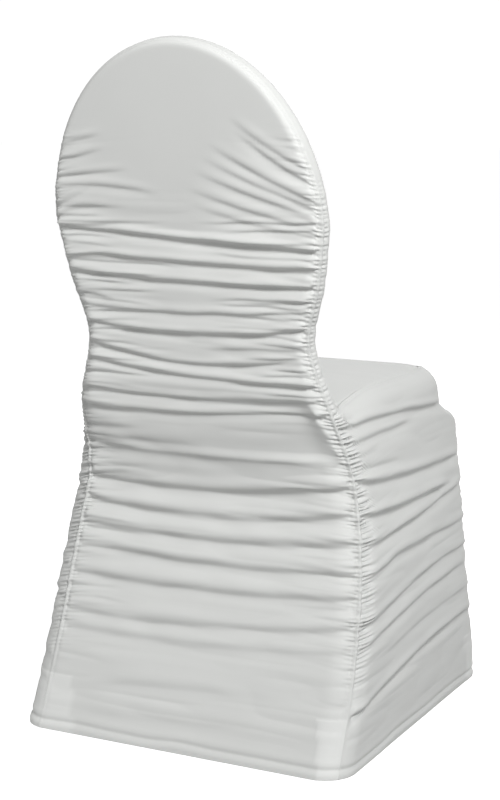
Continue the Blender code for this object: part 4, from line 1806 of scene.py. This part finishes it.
@dataclass
class SeatPanel(ClothPanel):
    """The front of the skirt and the top of the seat, in one length of cloth."""

    width: float = 0.46
    length_of_top: float = 0.39
    over_edge: int = 22
    top_rows: int = 120
    rear_share: float = 0.066  # where the top's rear edge meets the sides' top seams
    gather: float = 0.55  # share of a rear seam's gather
    ridge: float = 1.6

    def surface(self) -> Surface:
        """Rows up the skirt, over the cushion's front edge, then back over the seat.

        Returns:
            The form.
        """
        u = self.stops() * 2 - 1
        edge_z = float(FORM.cushion_edge(1.0))
        share = np.linspace(0, 1, cells(edge_z, self.rise) + 1)[:, None]
        skirt = FORM.front_spot(u[None], share * edge_z, 0.0)
        lift = np.linspace(0, 1, self.over_edge + 1)[1:, None]
        rolled = FORM.front_spot(u[None], edge_z + 0 * lift, lift)
        t = np.linspace(1, self.rear_share, self.top_rows + 1)[1:]
        v = ((1 - t) / (1 - t[-1]))[:, None, None]
        points = np.concatenate([skirt, rolled, self.top(u, v, t, rolled[-1][None])])
        over = FORM.edge_turn * FORM.edge_radius
        back = edge_z + over + self.length_of_top * v[..., 0]
        height = np.concatenate([share * edge_z, edge_z + lift * over, back]) * 1000 + 0 * u
        wide, tall = runs(points, 1), runs(points, 0)
        low = ease((edge_z * 1000 + 40 - height) / 20)
        firm = self.gather * GATHER.share(height, Hand.LEFT) * low
        ridge = self.ridge * ease(np.abs(height - (edge_z + over) * 1000) / 8)
        seams = [
            SeamRun(height, away, firm, SeamSeed.FRONT_CORNER + hand.value, ridge)
            for hand, away in ((Hand.LEFT, wide), (Hand.RIGHT, wide[:, -1:] - wide))
        ]
        seams.append(SeamRun(wide, tall[-1:] - tall, 0 * tall, SeamSeed.SEAT_REAR, 0.5))
        fade = 1 - 0.75 * ease((height - edge_z * 1000) / 40)
        pocket = self.patch(height, 50 - np.minimum(wide, wide[:, -1:] - wide))
        sewn = (True, True, False, True)
        return Surface(points, -1, u + 0 * height, height, seams, sewn, fade, pocket)

    def top(self, u: Array, v: Array, t: Array, near: Array) -> Array:
        """The seat's top: the patch that blends its four edges, with a low swell in its middle.

        Args:
            u: -1 to 1 across.
            v: 0 at the front to 1 at the rear.
            t: place of each row's ends along the sides' top seams.
            near: its front edge.

        Returns:
            Rows of points.
        """
        left, right = (FORM.side_top(t, hand)[:, None] for hand in (Hand.LEFT, Hand.RIGHT))
        s = ((u + 1) / 2)[None, :, None]
        far = left[-1:] * (1 - s) + right[-1:] * s
        ends = (1 - v) * ((1 - s) * near[:, :1] + s * near[:, -1:]) + v * far
        made = (1 - v) * near + v * far + (1 - s) * left + s * right - ends
        swell = FORM.seat_swell * (1 - (2 * s - 1) ** 2) * np.sin(math.pi * v) ** 0.7
        made[..., 2] += swell[..., 0]
        return made


@dataclass
class FootPocket(ClothPanel):
    """A doubled corner at a foot: a low wall inside the two panels, and a sole for the leg."""

    hand: Hand = Hand.RIGHT
    end: End = End.REAR
    tall: float = 0.072
    sole_at: float = 0.0020
    wall_foot: float = 0.0024
    inside: float = 0.0042
    columns: int = 57
    wall_rows: int = 45
    sole_rows: int = 10
    before_rear: float = 0.020  # straight run of the wall before its corner
    before_front: float = 0.026
    after: float = 0.030  # and after it

    def surface(self) -> Surface:
        """A wall of rows that go straight, round the corner's arc and straight again, then a
        sole that closes from the wall's foot to the line between its two ends.

        Returns:
            The form.
        """
        at = np.linspace(self.tall, self.wall_foot, self.wall_rows)
        if self.end is End.REAR:
            radius = curve(CORNER, 1, at, True)
            centre_x, centre_y = FORM.corner_centre(at)
            before = self.before_rear
        else:
            front_y, front_x, radius = (curve(FRONT, k, at, True) for k in (1, 2, 3))
            centre_x, centre_y = front_x - radius, front_y + radius
            before = self.before_front
        small = (radius - self.inside)[:, None]
        quarter = small * math.pi / 2
        run = np.linspace(0, 1, self.columns) * (before + quarter + self.after)
        a = np.clip((run - before) / small, 0, math.pi / 2)
        x = centre_x[:, None] + small * np.cos(a) - np.clip(run - before - quarter, 0, None)
        y = small * np.sin(a) - np.clip(before - run, 0, None)
        y = centre_y[:, None] + self.end.value * y
        wall = np.stack([self.hand.value * x, y, at[:, None] + 0 * x], -1)
        points = np.concatenate([wall, self.sole(wall[-1])])
        across = np.linspace(-1, 1, self.columns) + 0 * points[..., 0]
        height = points[..., 2] * 1000
        wide = runs(points, 1)
        rim = SeamRun(wide, runs(points, 0), 0 * wide, SeamSeed.POCKET_RIM, 0.5)
        outward = self.hand.value * self.end.value
        fade = ease((height - 6) / 12)
        sewn = (False, False, False, False)
        return Surface(points, outward, across, height, [rim], sewn, fade, hemmed=False)

    def sole(self, foot: Array) -> Array:
        """Rows from near the wall's foot to near the line between its two ends.

        Args:
            foot: the wall's last row.

        Returns:
            Rows of points.
        """
        chord = np.linspace(0, 1, self.columns)[:, None] * (foot[-1] - foot[0]) + foot[0]
        inward = chord * 0.97 + foot.mean(axis=0) * 0.03
        share = np.linspace(0.04, 0.92, self.sole_rows)[:, None, None]
        made = foot * (1 - share) + inward * share
        made[..., 2] = self.sole_at
        return made

    def relief(self, surface: Surface) -> Array:
        """A few soft ripples, which fade at the floor, and the rim's turned edge."""
        ripple = 0.5 * waver(surface.height / 11 + surface.across, self.seed)
        return ripple * surface.fade - 0.5 + 0.4 * bell(runs(surface.points, 0) / 3)


@dataclass(frozen=True)
class Studio:
    """Plain pale floor, soft light and the camera of the view."""

    camera_at: tuple[float, float, float] = (-1.1253, 1.9501, -0.0797)
    azimuth: float = math.radians(207.5671)
    pitch: float = math.radians(9.5254)
    focal_mm: float = 79.90
    sensor_mm: float = 36.0
    floor_size: float = 60.0
    floor_gap: float = 0.0006  # between the floor and the hem
    sky: str = "#FFFFFF"
    seen_sky: float = 1.05  # the sky's strength to the camera
    lit_sky: float = 0.39  # and as light

    def build(self) -> None:
        """Makes the floor, the lights, the sky and the camera."""
        self.floor()
        self.lights()
        self.camera()

    def floor(self) -> None:
        """A flat square under the hem."""
        half, z = self.floor_size / 2, float(-HOLD[2]) - self.floor_gap
        mesh = bpy.data.meshes.new("floor")
        corners = [(-half, -half, z), (half, -half, z), (half, half, z), (-half, half, z)]
        mesh.from_pydata(corners, [], [(0, 1, 2, 3)])
        mesh.materials.append(FloorPaper().build())
        made = bpy.data.objects.new("floor", mesh)
        made.visible_diffuse = False  # the white ground doesn't fill the folds with light
        bpy.context.scene.collection.objects.link(made)

    def lights(self) -> None:
        """A white sky all round, and large soft panels above and in front of the cover."""
        world = bpy.data.worlds.new("white_sky")
        world.use_nodes = True
        world.node_tree.nodes.clear()
        tree = world.node_tree
        rays = add_node(tree, "ShaderNodeLightPath")
        lit, seen = (
            add_node(
                tree,
                "ShaderNodeBackground",
                inputs={"Color": linear(self.sky), "Strength": strength},
            )
            for strength in (self.lit_sky, self.seen_sky)
        )
        sky = add_node(
            tree,
            "ShaderNodeMixShader",
            inputs={0: rays.outputs["Is Camera Ray"], 1: lit.outputs[0], 2: seen.outputs[0]},
        )
        add_node(tree, "ShaderNodeOutputWorld", inputs={"Surface": sky.outputs[0]})
        bpy.context.scene.world = world
        bpy.context.scene.view_settings.view_transform = "Standard"
        crown, middle = Vector((0, 0.2, -0.15)), Vector((0, -0.1, -0.5))
        panels = (
            ("key_panel", (-1.5, 1.5, 1.3), crown, 0.80, 18.5, math.radians(90)),
            ("right_panel", (-3.0, -0.5, 0.2), middle, 1.5, 8.5, math.pi),
            ("left_panel", (3.0, 0.8, 0.9), middle, 1.6, 6.0, math.pi),
            ("front_panel", (0.6, -3.2, 0.3), middle, 1.8, 24.0, math.pi),
            ("low_panel", (-0.3, 2.1, -0.7), middle, 1.0, 2.5, math.pi),
        )  # each: name, place, what it faces, size, power in watts, spread
        for name, place, aim, size, power, spread in panels:
            light = bpy.data.lights.new(name, "AREA")
            light.shape, light.size, light.energy, light.spread = "SQUARE", size, power, spread
            made = bpy.data.objects.new(name, light)
            made.location = place
            made.rotation_euler = (aim - Vector(place)).to_track_quat("-Z", "Y").to_euler()
            bpy.context.scene.collection.objects.link(made)

    def camera(self) -> None:
        """The camera, turned by its azimuth and pitch: its back points away from the cover."""
        a, e = self.azimuth, self.pitch
        back = Vector((math.sin(a) * math.cos(e), -math.cos(a) * math.cos(e), math.sin(e)))
        right = Vector((0, 0, 1)).cross(back).normalized()
        up = back.cross(right)
        lens = bpy.data.cameras.new("view")
        lens.lens, lens.sensor_width, lens.sensor_fit = self.focal_mm, self.sensor_mm, "AUTO"
        lens.clip_end = self.floor_size
        made = bpy.data.objects.new("view", lens)
        turned = Matrix((right, up, back)).transposed().to_4x4()
        made.matrix_world = Matrix.Translation(self.camera_at) @ turned
        bpy.context.scene.collection.objects.link(made)
        bpy.context.scene.camera = made


def panels() -> list[ClothPanel]:
    """Every piece of the cover.

    Returns:
        The back, the inner back, the seat, the two sides and the four foot pockets.
    """
    made: list[ClothPanel] = [
        BackPanel(
            "back_cloth", "back_panel", 11, (0.48, 0.98), 0.365, BACK_CREASES, rise=0.0013
        ),
        InnerBack(
            "inner_back_cloth",
            "inner_back_panel",
            23,
            (0.46, 0.56),
            0.185,
            INNER_CREASES,
            rise=0.0016,
        ),
        SeatPanel("seat_cloth", "seat_panel", 37, (0.48, 0.92), 0.330, SKIRT_CREASES),
    ]
    for hand, seed, flat, area, creases in (
        (Hand.RIGHT, 53, (0.46, 0.50), 0.198, RIGHT_CREASES),
        (Hand.LEFT, 71, (0.48, 0.50), 0.208, LEFT_CREASES),
    ):
        word = hand.name.lower()
        names = f"side_cloth_{word}", f"side_panel_{word}"
        made.append(SidePanel(*names, seed, flat, area, creases, hand=hand, slack=0.35))
    for end in End:
        for hand in Hand:
            word = f"{end.name.lower()}_{hand.name.lower()}"
            made.append(
                FootPocket(
                    f"foot_pocket_cloth_{word}",
                    f"foot_pocket_{word}",
                    83 + len(made),
                    (0.11, 0.10),
                    0.0078,
                    hand=hand,
                    end=end,
                    slot="pocket_cloth",
                )
            )
    return made


def main() -> None:
    """Builds and dresses every piece."""
    logging.basicConfig(level=logging.INFO, format="%(message)s")
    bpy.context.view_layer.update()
    cloth = MilkSpandex().build()
    name = "doubled_milk_spandex_knit"
    doubled = MilkSpandex(name, "#D2D3D1", "#CCCDCB", roughness=0.66).build()
    for panel in panels():
        panel.build(doubled if isinstance(panel, FootPocket) else cloth)
    Studio().build()


if __name__ == "__main__":
    main()
